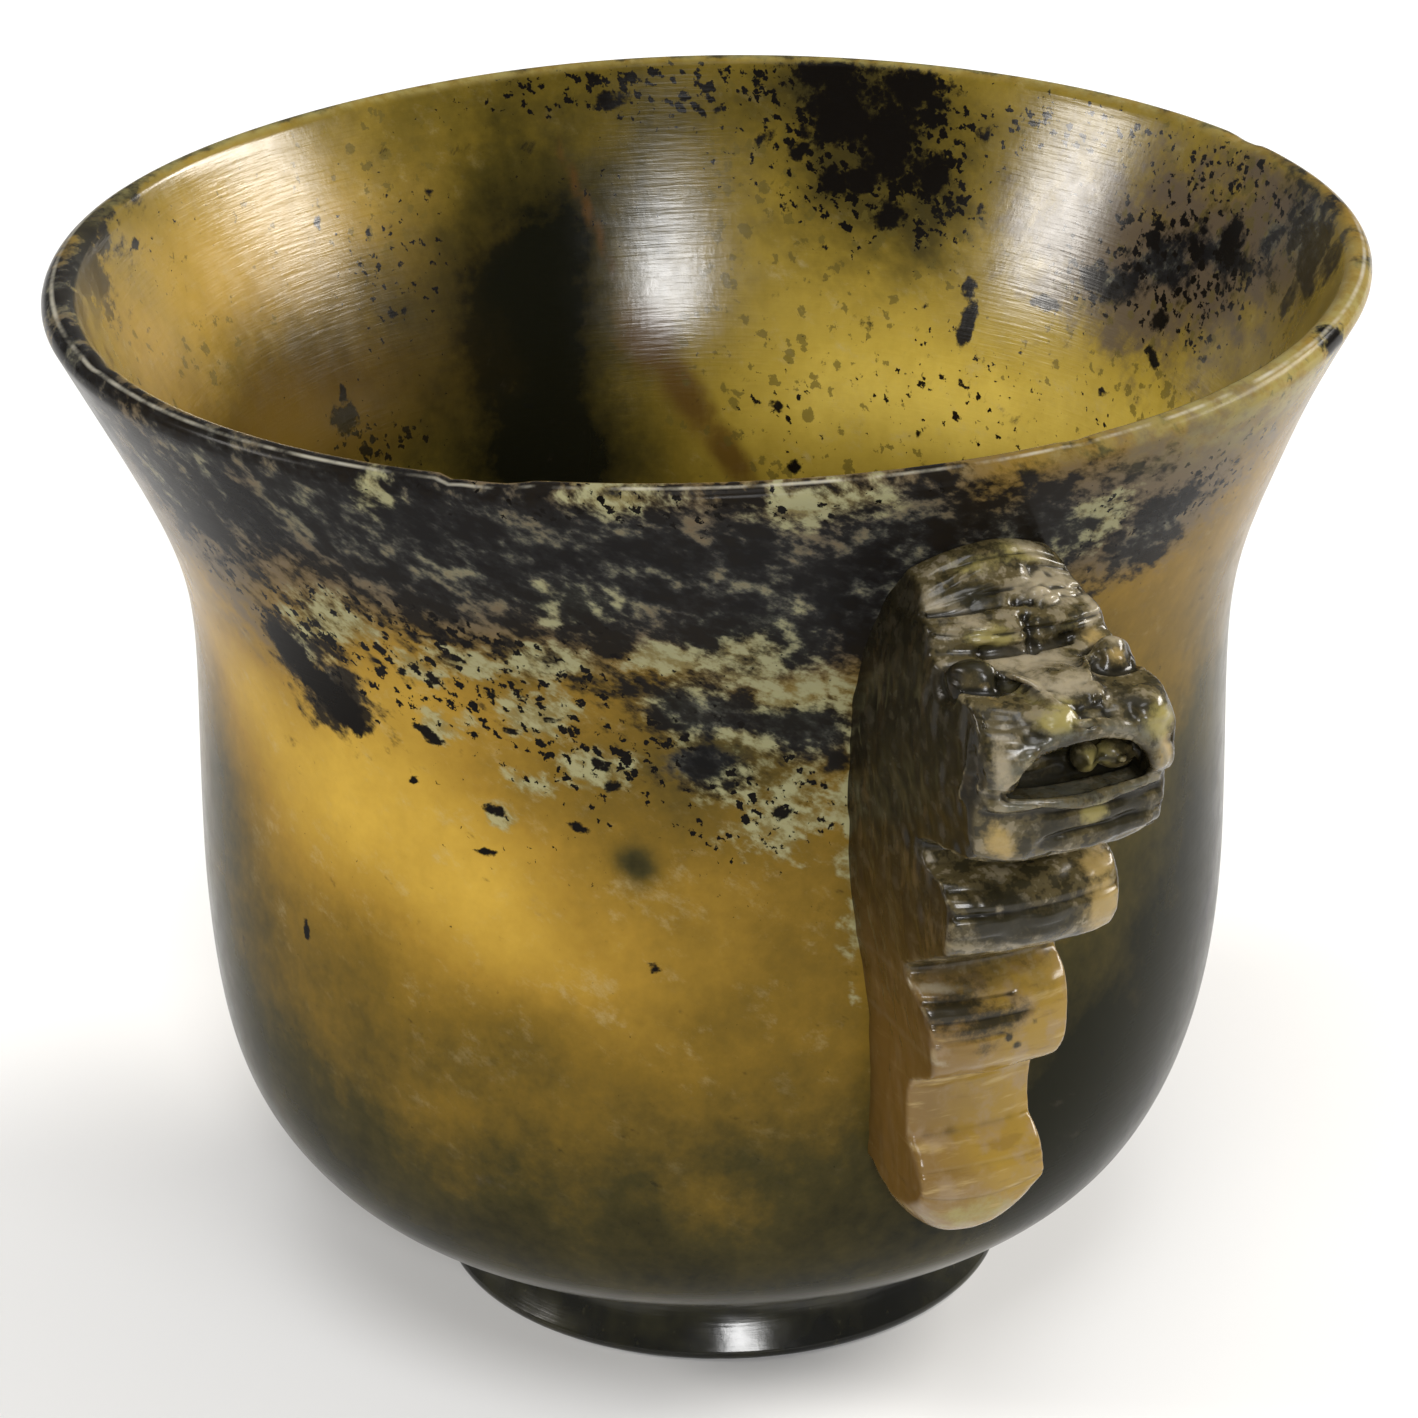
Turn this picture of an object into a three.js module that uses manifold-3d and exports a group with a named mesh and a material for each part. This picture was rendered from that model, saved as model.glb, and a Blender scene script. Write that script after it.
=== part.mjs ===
// Carved jade cup with a flared lip, a low foot ring and a pair of beast-head handles.
// Millimetres, +Z up. The cup stands on z = 0 with its axis on Z; the handles lie along X.
import * as THREE from 'three';
import { mergeVertices } from 'three/addons/utils/BufferGeometryUtils.js';
import Module from 'manifold-3d';

const wasm = await Module();
wasm.setup();

// Cup body
const RIM_RADIUS = 45;
const CUP_HEIGHT = 75.7;
const BELLY_RADIUS = 36.15;
const BELLY_HEIGHT = 34;
const WALL = 3;
const LIP = 2.2;
const LIP_LEAN = THREE.MathUtils.degToRad(26);
const FLOOR = 5;
// Lengths of the curve handles that set how full the side is
const HEEL_REACH = 12;
const HEEL_RISE = 1.5;
const BELLY_FALL = 19.3;
const BELLY_RISE = 20.6;
const FLARE_LENGTH = 23.2;
const BASIN_REACH = 21;

// Foot ring
const FOOT_RADIUS = 20.4;
const FOOT_HEIGHT = 6;
const FOOT_TOP_RADIUS = 18.8;
const FOOT_WALL = 4;
const FOOT_EDGE = 0.7;

// Handles: the crown's drop below the rim, then how far each member stands out from the belly line
// and how tall it is
const CROWN_DROP = 5.8;
const TAIL_REACH = 7.9;
const TAIL_HEIGHT = 8.1;
const TAIL_ROUND = 3.4;
const NOTCH_REACH = 5.7;
const NOTCH_HEIGHT = 4.2;
const SCROLL_REACH = 10.2;
const SCROLL_HEIGHT = 8.4;
const COLLAR_REACH = 15.4;
const COLLAR_SLOPE = 4.4;
const COLLAR_HEIGHT = 10;
const NECK_REACH = 11;
const TAIL_WIDTH = 8.6;
const HEAD_WIDTH = 12;
const CROWN_WIDTH = 9.8;
const FRONT_BOW = 1.6;
const EDGE = 0.4;
const SEAT_GAP = 0.3;

// Beast head
const JAW_REACH = 19.6;
const JAW_HEIGHT = 7.1;
const CHIN_RISE = 2.5;
const NOSE_REACH = 20.8;
const NOSE_ROUND = 2.2;
const MUZZLE_HEIGHT = 12.9;
const BROW_REACH = 12.2;
const BROW_HEIGHT = 3;
const BROW_PART = 1;
const CREST_REACH = 9.8;
const CREST_HEIGHT = 1.4;
const CROWN_REACH = 8.4;
const CROWN_HEIGHT = 1.3;
const CROWN_ROUND = 3.2;
const MOUTH_WIDTH = 9.4;
const MOUTH_HEIGHT = 4.1;
const MOUTH_DEPTH = 4.6;
const TONGUE_WIDTH = 4;
const EYE_RADIUS = 1.45;
const EYE_REACH = 15.3;
const EYE_INSET = 1.6;
const NOSTRIL_RADIUS = 1.9;
const NOSTRIL_INSET = 3.4;

const AROUND = 64;

const JADE_AMBER = { color: 0x8f7430, roughness: 0.3, metalness: 0 };
const JADE_DARK = { color: 0x2b2d20, roughness: 0.32, metalness: 0 };
const JADE_OLIVE = { color: 0x6a6334, roughness: 0.32, metalness: 0 };
const JADE_GREY = { color: 0x5b5a44, roughness: 0.34, metalness: 0 };

const at = (x, y) => new THREE.Vector2(x, y);

// A run of points along several curves, without repeating the shared ends
function trace(...runs) {
  const points = [];
  for (const [curve, steps] of runs) {
    for (const point of curve.getPoints(steps)) {
      const last = points[points.length - 1];
      if (!last || last.distanceTo(point) > 1e-4) points.push(point);
    }
  }
  return points;
}

function revolve(points) {
  return new THREE.LatheGeometry(points, AROUND).rotateX(Math.PI / 2);
}

// Turns a geometry into a closed body that can be joined and cut
function solid(geometry) {
  const bare = new THREE.BufferGeometry();
  bare.setAttribute('position', geometry.getAttribute('position'));
  bare.setIndex(geometry.getIndex());
  const joined = mergeVertices(bare, 1e-4);
  return new wasm.Manifold(new wasm.Mesh({
    numProp: 3,
    vertProperties: new Float32Array(joined.getAttribute('position').array),
    triVerts: new Uint32Array(joined.getIndex().array),
  }));
}

function mesh(name, body, finish) {
  const data = body.getMesh();
  const geometry = new THREE.BufferGeometry();
  geometry.setAttribute('position', new THREE.BufferAttribute(data.vertProperties, 3));
  geometry.setIndex(new THREE.BufferAttribute(data.triVerts, 1));
  geometry.computeVertexNormals();
  const made = new THREE.Mesh(geometry, new THREE.MeshStandardMaterial(finish));
  made.name = name;
  return made;
}

// Cup side, from the foot joint up to the lip, as two curves meeting upright at the belly
const wallDirection = at(Math.sin(LIP_LEAN), Math.cos(LIP_LEAN));
const lipCentre = at(RIM_RADIUS - LIP / 2, CUP_HEIGHT - LIP / 2);
const lipOuter = at(wallDirection.y, -wallDirection.x).multiplyScalar(LIP / 2).add(lipCentre);
const lipInner = at(-wallDirection.y, wallDirection.x).multiplyScalar(LIP / 2).add(lipCentre);

const heelCurve = new THREE.CubicBezierCurve(
  at(FOOT_TOP_RADIUS, FOOT_HEIGHT),
  at(FOOT_TOP_RADIUS + HEEL_REACH, FOOT_HEIGHT + HEEL_RISE),
  at(BELLY_RADIUS, BELLY_HEIGHT - BELLY_FALL),
  at(BELLY_RADIUS, BELLY_HEIGHT),
);

function flareCurve(radius, end) {
  return new THREE.CubicBezierCurve(
    at(radius, BELLY_HEIGHT),
    at(radius, BELLY_HEIGHT + BELLY_RISE),
    wallDirection.clone().multiplyScalar(-FLARE_LENGTH).add(end),
    end,
  );
}

const outerFlare = flareCurve(BELLY_RADIUS, lipOuter);
const innerFlare = flareCurve(BELLY_RADIUS - WALL, lipInner);

function bowlBody() {
  const basin = FOOT_HEIGHT + FLOOR;
  const lip = new THREE.EllipseCurve(
    lipCentre.x, lipCentre.y, LIP / 2, LIP / 2, -LIP_LEAN, Math.PI - LIP_LEAN, false,
  );
  const inside = new THREE.CubicBezierCurve(
    at(0, basin),
    at(BASIN_REACH, basin),
    at(BELLY_RADIUS - WALL, BELLY_HEIGHT - BELLY_FALL),
    at(BELLY_RADIUS - WALL, BELLY_HEIGHT),
  );
  const outer = trace([heelCurve, 9], [outerFlare, 11], [lip, 6]);
  const inner = trace([inside, 9], [innerFlare, 9]).reverse();
  return solid(revolve([at(0, FOOT_HEIGHT), ...outer, ...inner.slice(1)]));
}

function footBody() {
  const inner = FOOT_RADIUS - FOOT_WALL;
  const innerTop = FOOT_TOP_RADIUS - FOOT_WALL;
  const ring = new THREE.Path();
  ring.moveTo(inner + FOOT_EDGE, 0);
  ring.lineTo(FOOT_RADIUS - FOOT_EDGE, 0);
  ring.quadraticCurveTo(FOOT_RADIUS, 0, FOOT_RADIUS, FOOT_EDGE);
  ring.quadraticCurveTo(FOOT_TOP_RADIUS, FOOT_HEIGHT / 2, FOOT_TOP_RADIUS, FOOT_HEIGHT);
  ring.lineTo(innerTop, FOOT_HEIGHT);
  ring.lineTo(inner, FOOT_EDGE);
  ring.closePath();
  return solid(revolve(ring.getPoints(4)));
}

// Filled shape of the cup side, a seat gap larger, that the handles are cut back to
function seatTool() {
  const points = [at(0, FOOT_HEIGHT - SEAT_GAP)];
  for (const [curve, steps] of [[heelCurve, 9], [outerFlare, 11]]) {
    for (let i = 0; i <= steps; i += 1) {
      const along = curve.getTangent(i / steps);
      const point = curve.getPoint(i / steps);
      point.add(at(along.y, -along.x).multiplyScalar(SEAT_GAP));
      if (points[points.length - 1].distanceTo(point) > 1e-3) points.push(point);
    }
  }
  points.push(at(0, CUP_HEIGHT));
  return solid(revolve(points));
}

// Members of the handle, stacked down from the rim
const out = (reach) => BELLY_RADIUS + reach;
const headHeight = MUZZLE_HEIGHT + BROW_HEIGHT + CREST_HEIGHT + CROWN_HEIGHT;
const headLow = CUP_HEIGHT - CROWN_DROP - headHeight;
const collarLow = headLow - COLLAR_HEIGHT;
const scrollLow = collarLow - SCROLL_HEIGHT;
const notchLow = scrollLow - NOTCH_HEIGHT;
const handleLow = notchLow - TAIL_HEIGHT;
const mouthLow = headLow + JAW_HEIGHT;
const mouthTop = mouthLow + MOUTH_HEIGHT;
const browLow = headLow + MUZZLE_HEIGHT;
const crestLow = browLow + BROW_HEIGHT;
const crownLow = crestLow + CREST_HEIGHT;
const crownTop = crownLow + CROWN_HEIGHT;

// Handle width at a height: narrow tail, widest from the jaw to the mouth, drawn in at the crown
function widthAt(z) {
  const { lerp, clamp, inverseLerp } = THREE.MathUtils;
  const swell = clamp(inverseLerp(scrollLow, headLow, z), 0, 1);
  const draw = clamp(inverseLerp(mouthTop, crownTop, z), 0, 1);
  return draw > 0 ? lerp(HEAD_WIDTH, CROWN_WIDTH, draw) : lerp(TAIL_WIDTH, HEAD_WIDTH, swell);
}

// Side outline (x outwards, y up) drawn through the handle's width, edges rounded over.
// The front is bowed, the more so the further it stands out, and the width follows the height.
function sideBody(shape) {
  const across = new THREE.ExtrudeGeometry(shape, {
    depth: HEAD_WIDTH - 2 * EDGE,
    steps: 5,
    curveSegments: 5,
    bevelEnabled: true,
    bevelThickness: EDGE,
    bevelSize: EDGE,
    bevelOffset: -EDGE,
    bevelSegments: 2,
  });
  across.translate(0, 0, EDGE - HEAD_WIDTH / 2);
  const turn = new THREE.Matrix4().makeBasis(
    new THREE.Vector3(1, 0, 0), new THREE.Vector3(0, 0, 1), new THREE.Vector3(0, -1, 0),
  );
  across.applyMatrix4(turn);
  const place = across.getAttribute('position');
  for (let i = 0; i < place.count; i += 1) {
    const share = place.getY(i) / (HEAD_WIDTH / 2);
    const reach = Math.max(place.getX(i) - BELLY_RADIUS, 0);
    place.setX(i, place.getX(i) - (FRONT_BOW * reach * share * share) / NOSE_REACH);
    place.setY(i, (share * widthAt(place.getZ(i))) / 2);
  }
  return solid(across);
}

// Front outline (x across, y up) pushed inwards from the given stand-off
function frontBody(shape, depth, standOff) {
  const inwards = new THREE.ExtrudeGeometry(shape, { depth, curveSegments: 8, bevelEnabled: false });
  const turn = new THREE.Matrix4().makeBasis(
    new THREE.Vector3(0, 1, 0), new THREE.Vector3(0, 0, 1), new THREE.Vector3(1, 0, 0),
  );
  return solid(inwards.applyMatrix4(turn).translate(standOff - depth, 0, 0));
}

function ball(radius, x, y, z) {
  return solid(new THREE.SphereGeometry(radius, 14, 10).translate(x, y, z));
}

// Lower handle: rounded tail, notch, scroll and sloping collar, one above the other
function flangeBody(seat) {
  const side = new THREE.Shape();
  side.moveTo(FOOT_TOP_RADIUS, handleLow + 1);
  side.lineTo(BELLY_RADIUS, handleLow + 1);
  side.quadraticCurveTo(out(1), handleLow, out(NOTCH_REACH - 2), handleLow);
  side.quadraticCurveTo(out(TAIL_REACH), handleLow, out(TAIL_REACH), handleLow + TAIL_HEIGHT * 0.6);
  side.quadraticCurveTo(out(TAIL_REACH), notchLow - 1, out(NOTCH_REACH), notchLow);
  side.lineTo(out(NOTCH_REACH), scrollLow - 1);
  side.quadraticCurveTo(out(NOTCH_REACH), scrollLow, out(SCROLL_REACH - 1.8), scrollLow + 1.2);
  side.quadraticCurveTo(out(SCROLL_REACH), scrollLow + 2.4, out(SCROLL_REACH), scrollLow + 4.4);
  side.quadraticCurveTo(out(SCROLL_REACH), collarLow - 0.6, out(NOTCH_REACH + 2), collarLow);
  side.lineTo(out(NOTCH_REACH + 2), collarLow + 0.8);
  side.lineTo(out(COLLAR_REACH - 1.2), collarLow + COLLAR_SLOPE);
  side.quadraticCurveTo(out(COLLAR_REACH), collarLow + COLLAR_SLOPE + 1, out(COLLAR_REACH), headLow - 2.4);
  side.quadraticCurveTo(out(COLLAR_REACH), headLow - 0.7, out(NECK_REACH + 1.6), headLow - 0.7);
  side.lineTo(out(NECK_REACH), headLow);
  side.lineTo(FOOT_TOP_RADIUS, headLow);
  side.closePath();
  // Lower corners of the tail seen from the front
  const half = TAIL_WIDTH / 2;
  const front = new THREE.Shape();
  front.moveTo(-half + TAIL_ROUND, handleLow - EDGE);
  front.lineTo(half - TAIL_ROUND, handleLow - EDGE);
  front.quadraticCurveTo(half, handleLow - EDGE, half, handleLow + TAIL_ROUND);
  front.lineTo(HEAD_WIDTH, handleLow + TAIL_ROUND);
  front.lineTo(HEAD_WIDTH, headLow + EDGE);
  front.lineTo(-HEAD_WIDTH, headLow + EDGE);
  front.lineTo(-HEAD_WIDTH, handleLow + TAIL_ROUND);
  front.lineTo(-half, handleLow + TAIL_ROUND);
  front.quadraticCurveTo(-half, handleLow - EDGE, -half + TAIL_ROUND, handleLow - EDGE);
  const keep = frontBody(front, out(COLLAR_REACH) + EDGE, out(COLLAR_REACH) + EDGE);
  return sideBody(side).intersect(keep).subtract(seat);
}

// Beast head: crown, crest and brow stepping out to a blunt muzzle over an open mouth and jaw
function headBody(seat) {
  const half = HEAD_WIDTH / 2;
  const crestHalf = widthAt(crestLow) / 2;
  const side = new THREE.Shape();
  side.moveTo(FOOT_TOP_RADIUS, headLow);
  side.lineTo(out(NECK_REACH), headLow);
  side.lineTo(out(NECK_REACH + 1.6), headLow + CHIN_RISE - 1);
  side.lineTo(out(JAW_REACH - 2), headLow + CHIN_RISE);
  side.quadraticCurveTo(out(JAW_REACH), headLow + CHIN_RISE, out(JAW_REACH), headLow + CHIN_RISE + 2);
  side.lineTo(out(JAW_REACH), mouthLow);
  side.lineTo(out(NOSE_REACH), mouthLow + 1);
  side.lineTo(out(NOSE_REACH), browLow - NOSE_ROUND);
  side.quadraticCurveTo(out(NOSE_REACH), browLow, out(NOSE_REACH - NOSE_ROUND), browLow);
  side.lineTo(out(BROW_REACH), browLow + 0.6);
  side.lineTo(out(BROW_REACH), crestLow - 1.2);
  side.quadraticCurveTo(out(BROW_REACH), crestLow, out(CREST_REACH), crestLow);
  side.lineTo(out(CREST_REACH), crownLow - 0.7);
  side.quadraticCurveTo(out(CREST_REACH), crownLow, out(CROWN_REACH), crownLow);
  side.quadraticCurveTo(out(CROWN_REACH), crownTop, out(CROWN_REACH - 2), crownTop);
  side.lineTo(FOOT_TOP_RADIUS, crownTop);
  side.closePath();

  const mouth = new THREE.Shape();
  mouth.moveTo(-MOUTH_WIDTH / 2, mouthLow);
  mouth.lineTo(MOUTH_WIDTH / 2, mouthLow);
  mouth.quadraticCurveTo(MOUTH_WIDTH / 2, mouthTop, 0, mouthTop);
  mouth.quadraticCurveTo(-MOUTH_WIDTH / 2, mouthTop, -MOUTH_WIDTH / 2, mouthLow);

  const parting = new THREE.Shape();
  parting.moveTo(-BROW_PART / 2, browLow + 1);
  parting.lineTo(BROW_PART / 2, browLow + 1);
  parting.lineTo(BROW_PART / 2, crestLow + EDGE);
  parting.lineTo(-BROW_PART / 2, crestLow + EDGE);

  // Arched crown seen from the front; the eyes and nostrils stay clear of it
  const arch = new THREE.Shape();
  arch.moveTo(-HEAD_WIDTH, headLow - EDGE);
  arch.lineTo(HEAD_WIDTH, headLow - EDGE);
  arch.lineTo(HEAD_WIDTH, crestLow);
  arch.lineTo(crestHalf + EDGE, crestLow);
  arch.quadraticCurveTo(crestHalf, crownTop, crestHalf - CROWN_ROUND, crownTop);
  arch.lineTo(CROWN_ROUND - crestHalf, crownTop);
  arch.quadraticCurveTo(-crestHalf, crownTop, -crestHalf - EDGE, crestLow);
  arch.lineTo(-HEAD_WIDTH, crestLow);

  const tongue = new THREE.SphereGeometry(TONGUE_WIDTH / 2, 14, 10).scale(1.6, 1, 0.6);
  tongue.translate(out(JAW_REACH - MOUTH_DEPTH + 1), 0, mouthLow);

  let head = sideBody(side);
  for (const hand of [-1, 1]) {
    const nostril = out(NOSE_REACH) - NOSTRIL_RADIUS + 0.3;
    head = head.add(ball(EYE_RADIUS, out(EYE_REACH), hand * (half - EYE_INSET), browLow + 0.3));
    head = head.add(ball(NOSTRIL_RADIUS, nostril, hand * (half - NOSTRIL_INSET), browLow - NOSTRIL_RADIUS));
  }
  const reach = out(NOSE_REACH) + EDGE;
  head = head.intersect(frontBody(arch, reach, reach));
  head = head.subtract(frontBody(mouth, MOUTH_DEPTH, reach));
  head = head.subtract(frontBody(parting, BROW_REACH - CREST_REACH, out(BROW_REACH) + EDGE));
  return head.add(solid(tongue)).subtract(seat);
}

function handle(name, turn) {
  const seat = seatTool();
  const group = new THREE.Group();
  group.name = `${name}_handle`;
  group.add(mesh(`${name}_flange`, flangeBody(seat), JADE_OLIVE));
  group.add(mesh(`${name}_beast_head`, headBody(seat), JADE_GREY));
  group.rotation.z = turn;
  return group;
}

const cup = new THREE.Group();
cup.name = 'jade_cup';
cup.add(mesh('bowl', bowlBody(), JADE_AMBER));
cup.add(mesh('foot_ring', footBody(), JADE_DARK));
cup.add(handle('right', 0));
cup.add(handle('left', Math.PI));

export default cup;
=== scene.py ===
"""Looks of a carved jade cup: hand-ground bowl, low foot ring and a pair of beast-head handles."""
import math
import bmesh
import bpy
import numpy as np
from mathutils import Matrix, Vector


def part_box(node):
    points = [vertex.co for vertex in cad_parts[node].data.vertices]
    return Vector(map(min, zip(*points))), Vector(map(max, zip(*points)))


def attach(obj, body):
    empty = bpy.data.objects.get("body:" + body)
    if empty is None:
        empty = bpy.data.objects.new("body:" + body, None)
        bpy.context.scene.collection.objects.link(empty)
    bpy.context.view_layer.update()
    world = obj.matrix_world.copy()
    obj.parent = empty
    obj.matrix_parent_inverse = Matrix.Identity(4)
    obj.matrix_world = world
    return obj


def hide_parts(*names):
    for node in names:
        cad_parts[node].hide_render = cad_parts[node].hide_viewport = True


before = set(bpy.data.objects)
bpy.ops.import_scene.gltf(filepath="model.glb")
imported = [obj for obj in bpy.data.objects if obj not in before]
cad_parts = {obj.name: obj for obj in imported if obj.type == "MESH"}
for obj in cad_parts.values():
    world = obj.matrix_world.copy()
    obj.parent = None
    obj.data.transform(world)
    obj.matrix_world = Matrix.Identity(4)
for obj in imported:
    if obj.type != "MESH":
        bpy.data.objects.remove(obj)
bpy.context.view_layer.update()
MM = 0.001

# Camera, fitted to the photograph's outline. The turn is the camera's direction from +X.
CAMERA_TURN = math.radians(-23.25)
CAMERA_RISE = math.radians(24.21)
CAMERA_ROLL = math.radians(0.74)
CAMERA_AWAY = 350
CAMERA_LENS = 125.7
CAMERA_SENSOR = 36
CAMERA_NEAR = 0.01
AIM_SIDE = -0.12
AIM_HEIGHT = 41.25

# Cup profile, in millimetres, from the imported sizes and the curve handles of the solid
RIM_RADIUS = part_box("bowl")[1][1] / MM
CUP_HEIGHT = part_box("bowl")[1][2] / MM
FOOT_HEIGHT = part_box("foot_ring")[1][2] / MM
FOOT_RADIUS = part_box("foot_ring")[1][0] / MM
FOOT_TOP_RADIUS = 18.8
BELLY_RADIUS = 36.15
BELLY_HEIGHT = 34
WALL = 3
LIP = 2.0
LIP_LEAN = math.radians(26)
FLOOR = 5
HEEL_REACH = 12
HEEL_RISE = 1.5
BELLY_FALL = 19.3
BELLY_RISE = 20.6
FLARE_LENGTH = 23.2
BASIN_REACH = 21

# Unevenness of hand grinding: rise of the rim to a millimetre of radius, and where each effect begins
RIM_TILT = 0.0132
TILT_FROM = 18
GROUND_LOW = 8
GROUND_FULL = 16
# Hollows and swellings of the wall: degrees right of the camera, height, spread, rise, depth
DENTS = [
    (-90, 58, 42, 13, -0.4),
    (-90, 17, 42, 7, 0.35),
    (90, 69, 32, 5, -0.35),
    (35, 40, 25, 12, 0.12),
    (160, 50, 30, 16, -0.25),
    (230, 25, 40, 10, 0.2),
]
# Notches in the rim: degrees right of the camera, spread, depth
NICKS = [(-17.5, 3.0, 0.32), (-20.5, 0.8, 0.25), (31, 1.2, 0.12), (-63, 1.6, 0.15), (118, 2.0, 0.2)]
NICK_REACH = 1.6
# The lip is thicker to the left: degrees right of the camera, spread, depth
THICK_LIP = (-78, 34, 0.35)
LIP_REACH = 9
# Ripples round the cup: number of waves, start in radians, height to a radian, depth
WALL_RIPPLES = [(3, 0.7, 19, 0.09), (7, 0, 8, 0.05)]
INNER_RIPPLES = [(2, 1.9, math.inf, 0.16), (5, 0.4, 14, 0.1)]
RIM_RIPPLES = [(4, 1.2, math.inf, 0.1)]
FOOT_RIPPLES = [(3, 0, math.inf, 0.08), (8, 0, 1, 0.05)]

# Steps along the cup's section and round it
AXIS_RING = 0.4
UNDER_STEPS = 11
HEEL_STEPS = 64
FLARE_STEPS = 100
LIP_STEPS = 14
INNER_STEPS = 80
BASIN_STEPS = 34
BOWL_AROUND = 320
FOOT_AROUND = 256
# Share of the way over the lip where the stone of the inside begins
INSIDE_FROM = 0.55


def smooth(value, low, high):
    """Eases from 0 at low to 1 at high."""
    t = np.clip((np.asarray(value, float) - low) / (high - low), 0, 1)
    return t * t * (3 - 2 * t)


def bezier(points, steps):
    """Points along a cubic curve given by four (x, y) points."""
    p = np.array(points, float)
    t = np.linspace(0, 1, steps + 1)[:, None]
    return (1 - t) ** 3 * p[0] + 3 * t * (1 - t) ** 2 * p[1] + 3 * t ** 2 * (1 - t) * p[2] + t ** 3 * p[3]


def wrap(degrees):
    """Angle difference between -180 and 180 degrees."""
    return (degrees + 180) % 360 - 180


WALL_UP = np.array([math.sin(LIP_LEAN), math.cos(LIP_LEAN)])
WALL_OUT = np.array([WALL_UP[1], -WALL_UP[0]])
LIP_CENTRE = np.array([RIM_RADIUS - LIP / 2, CUP_HEIGHT - LIP / 2])


def heel_curve(steps):
    """Outside of the cup from the foot up to the belly."""
    low = (FOOT_TOP_RADIUS, FOOT_HEIGHT)
    out = (FOOT_TOP_RADIUS + HEEL_REACH, FOOT_HEIGHT + HEEL_RISE)
    under = (BELLY_RADIUS, BELLY_HEIGHT - BELLY_FALL)
    return bezier([low, out, under, (BELLY_RADIUS, BELLY_HEIGHT)], steps)


def flare_curve(radius, end, steps):
    """One side of the wall from the belly up to the lip."""
    bend = (radius, BELLY_HEIGHT + BELLY_RISE)
    return bezier([(radius, BELLY_HEIGHT), bend, end - FLARE_LENGTH * WALL_UP, end], steps)


def basin_curve(steps):
    """Inside of the cup from its floor up to the belly."""
    low = FOOT_HEIGHT + FLOOR
    inner = BELLY_RADIUS - WALL
    under = (inner, BELLY_HEIGHT - BELLY_FALL)
    return bezier([(0, low), (BASIN_REACH, low), under, (inner, BELLY_HEIGHT)], steps)


OUTER_SIDE = np.vstack([
    heel_curve(HEEL_STEPS),
    flare_curve(BELLY_RADIUS, LIP_CENTRE + WALL_OUT * LIP / 2, FLARE_STEPS)[1:],
])


def outer_radius(height):
    """Radius of the cup's outside at a height."""
    return np.interp(height, OUTER_SIDE[:, 1], OUTER_SIDE[:, 0])


def linked(name, data):
    """A new object in the scene."""
    piece = bpy.data.objects.new(name, data)
    bpy.context.scene.collection.objects.link(piece)
    return piece


def toward(turn, rise):
    """Direction at an angle round the axis and an angle above the floor."""
    return Vector((math.cos(turn) * math.cos(rise), math.sin(turn) * math.cos(rise), math.sin(rise)))


def new_object(name, vertices, faces, material):
    """A smooth-shaded mesh object from millimetre vertices."""
    mesh = bpy.data.meshes.new(name)
    mesh.from_pydata((np.asarray(vertices) * MM).tolist(), [], faces)
    mesh.polygons.foreach_set("use_smooth", np.ones(len(mesh.polygons), bool))
    mesh.materials.append(material)
    mesh.update()
    return linked(name, mesh)


def set_attribute(piece, name, values):
    """Keeps one number a vertex, for the material to read."""
    layer = piece.data.attributes.new(name, "FLOAT", "POINT")
    layer.data.foreach_set("value", np.asarray(values, np.float32))


def lattice_noise(points, cell, seed):
    """Smooth seeded noise between -1 and 1 with features about one cell wide."""
    size = 48
    draw = np.random.default_rng(seed).uniform(-1, 1, (size, size, size))
    place = points / cell
    base = np.floor(place).astype(int)
    t = place - base
    t = t * t * (3 - 2 * t)
    total = np.zeros(len(points))
    for corner in np.ndindex(2, 2, 2):
        weight = np.prod(np.where(corner, t, 1 - t), axis=1)
        i, j, k = ((base + corner) % size).T
        total += weight * draw[i, j, k]
    return total


# Radius that turns an angle round the cup into millimetres along its wall
ARC = 36.0
HILL_FALL = 0.7


def ellipse_reach(du, dv, wide, tall, tilt):
    """How far offsets lie from a tilted ellipse's middle, where 1 is on the ellipse."""
    c, s = math.cos(math.radians(tilt)), math.sin(math.radians(tilt))
    return np.hypot((c * du + s * dv) / wide, (c * dv - s * du) / tall)


def reach_of(flat, spot):
    """How far points on the unrolled wall lie from a spot, the short way round."""
    angle, height, wide, tall, tilt = (*spot, 0)[:5]
    du = np.radians(wrap(np.degrees(flat[:, 0] / ARC) - angle)) * ARC
    return ellipse_reach(du, flat[:, 1] - height, wide, tall, tilt)


def stain(flat, spots):
    """Highest of a set of cones: 1 in an ellipse's middle, one half on its line."""
    return np.max([1 - reach_of(flat, spot) / 2 for spot in spots], axis=0, initial=0)


def glow(flat, spots):
    """Sum of soft hills, each with its own weight."""
    return sum(spot[5] * np.exp(-reach_of(flat, spot) ** 2) for spot in spots)


def hills(flat, spots):
    """Highest of a set of soft hills, each with its own weight."""
    return np.max([spot[5] * np.exp(-HILL_FALL * reach_of(flat, spot) ** 2) for spot in spots], axis=0)


def blend(share, first, second):
    """Two fields mixed by a share of the second."""
    return (1 - share) * first + share * second


def turned_faces(rings, around, closed):
    """Quads between rings of vertices; closed joins the last ring to the first."""
    faces = []
    for i in range(rings if closed else rings - 1):
        here, there = i * around, ((i + 1) % rings) * around
        for j in range(around):
            k = (j + 1) % around
            faces.append((here + j, here + k, there + k, there + j))
    return faces


def section_rings(profile, around):
    """Angles round the axis, and a section's radius and height at each."""
    turn = np.linspace(0, 2 * math.pi, around, endpoint=False)
    return turn, np.repeat(profile[:, :1], around, 1), np.repeat(profile[:, 1:], around, 1)


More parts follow.
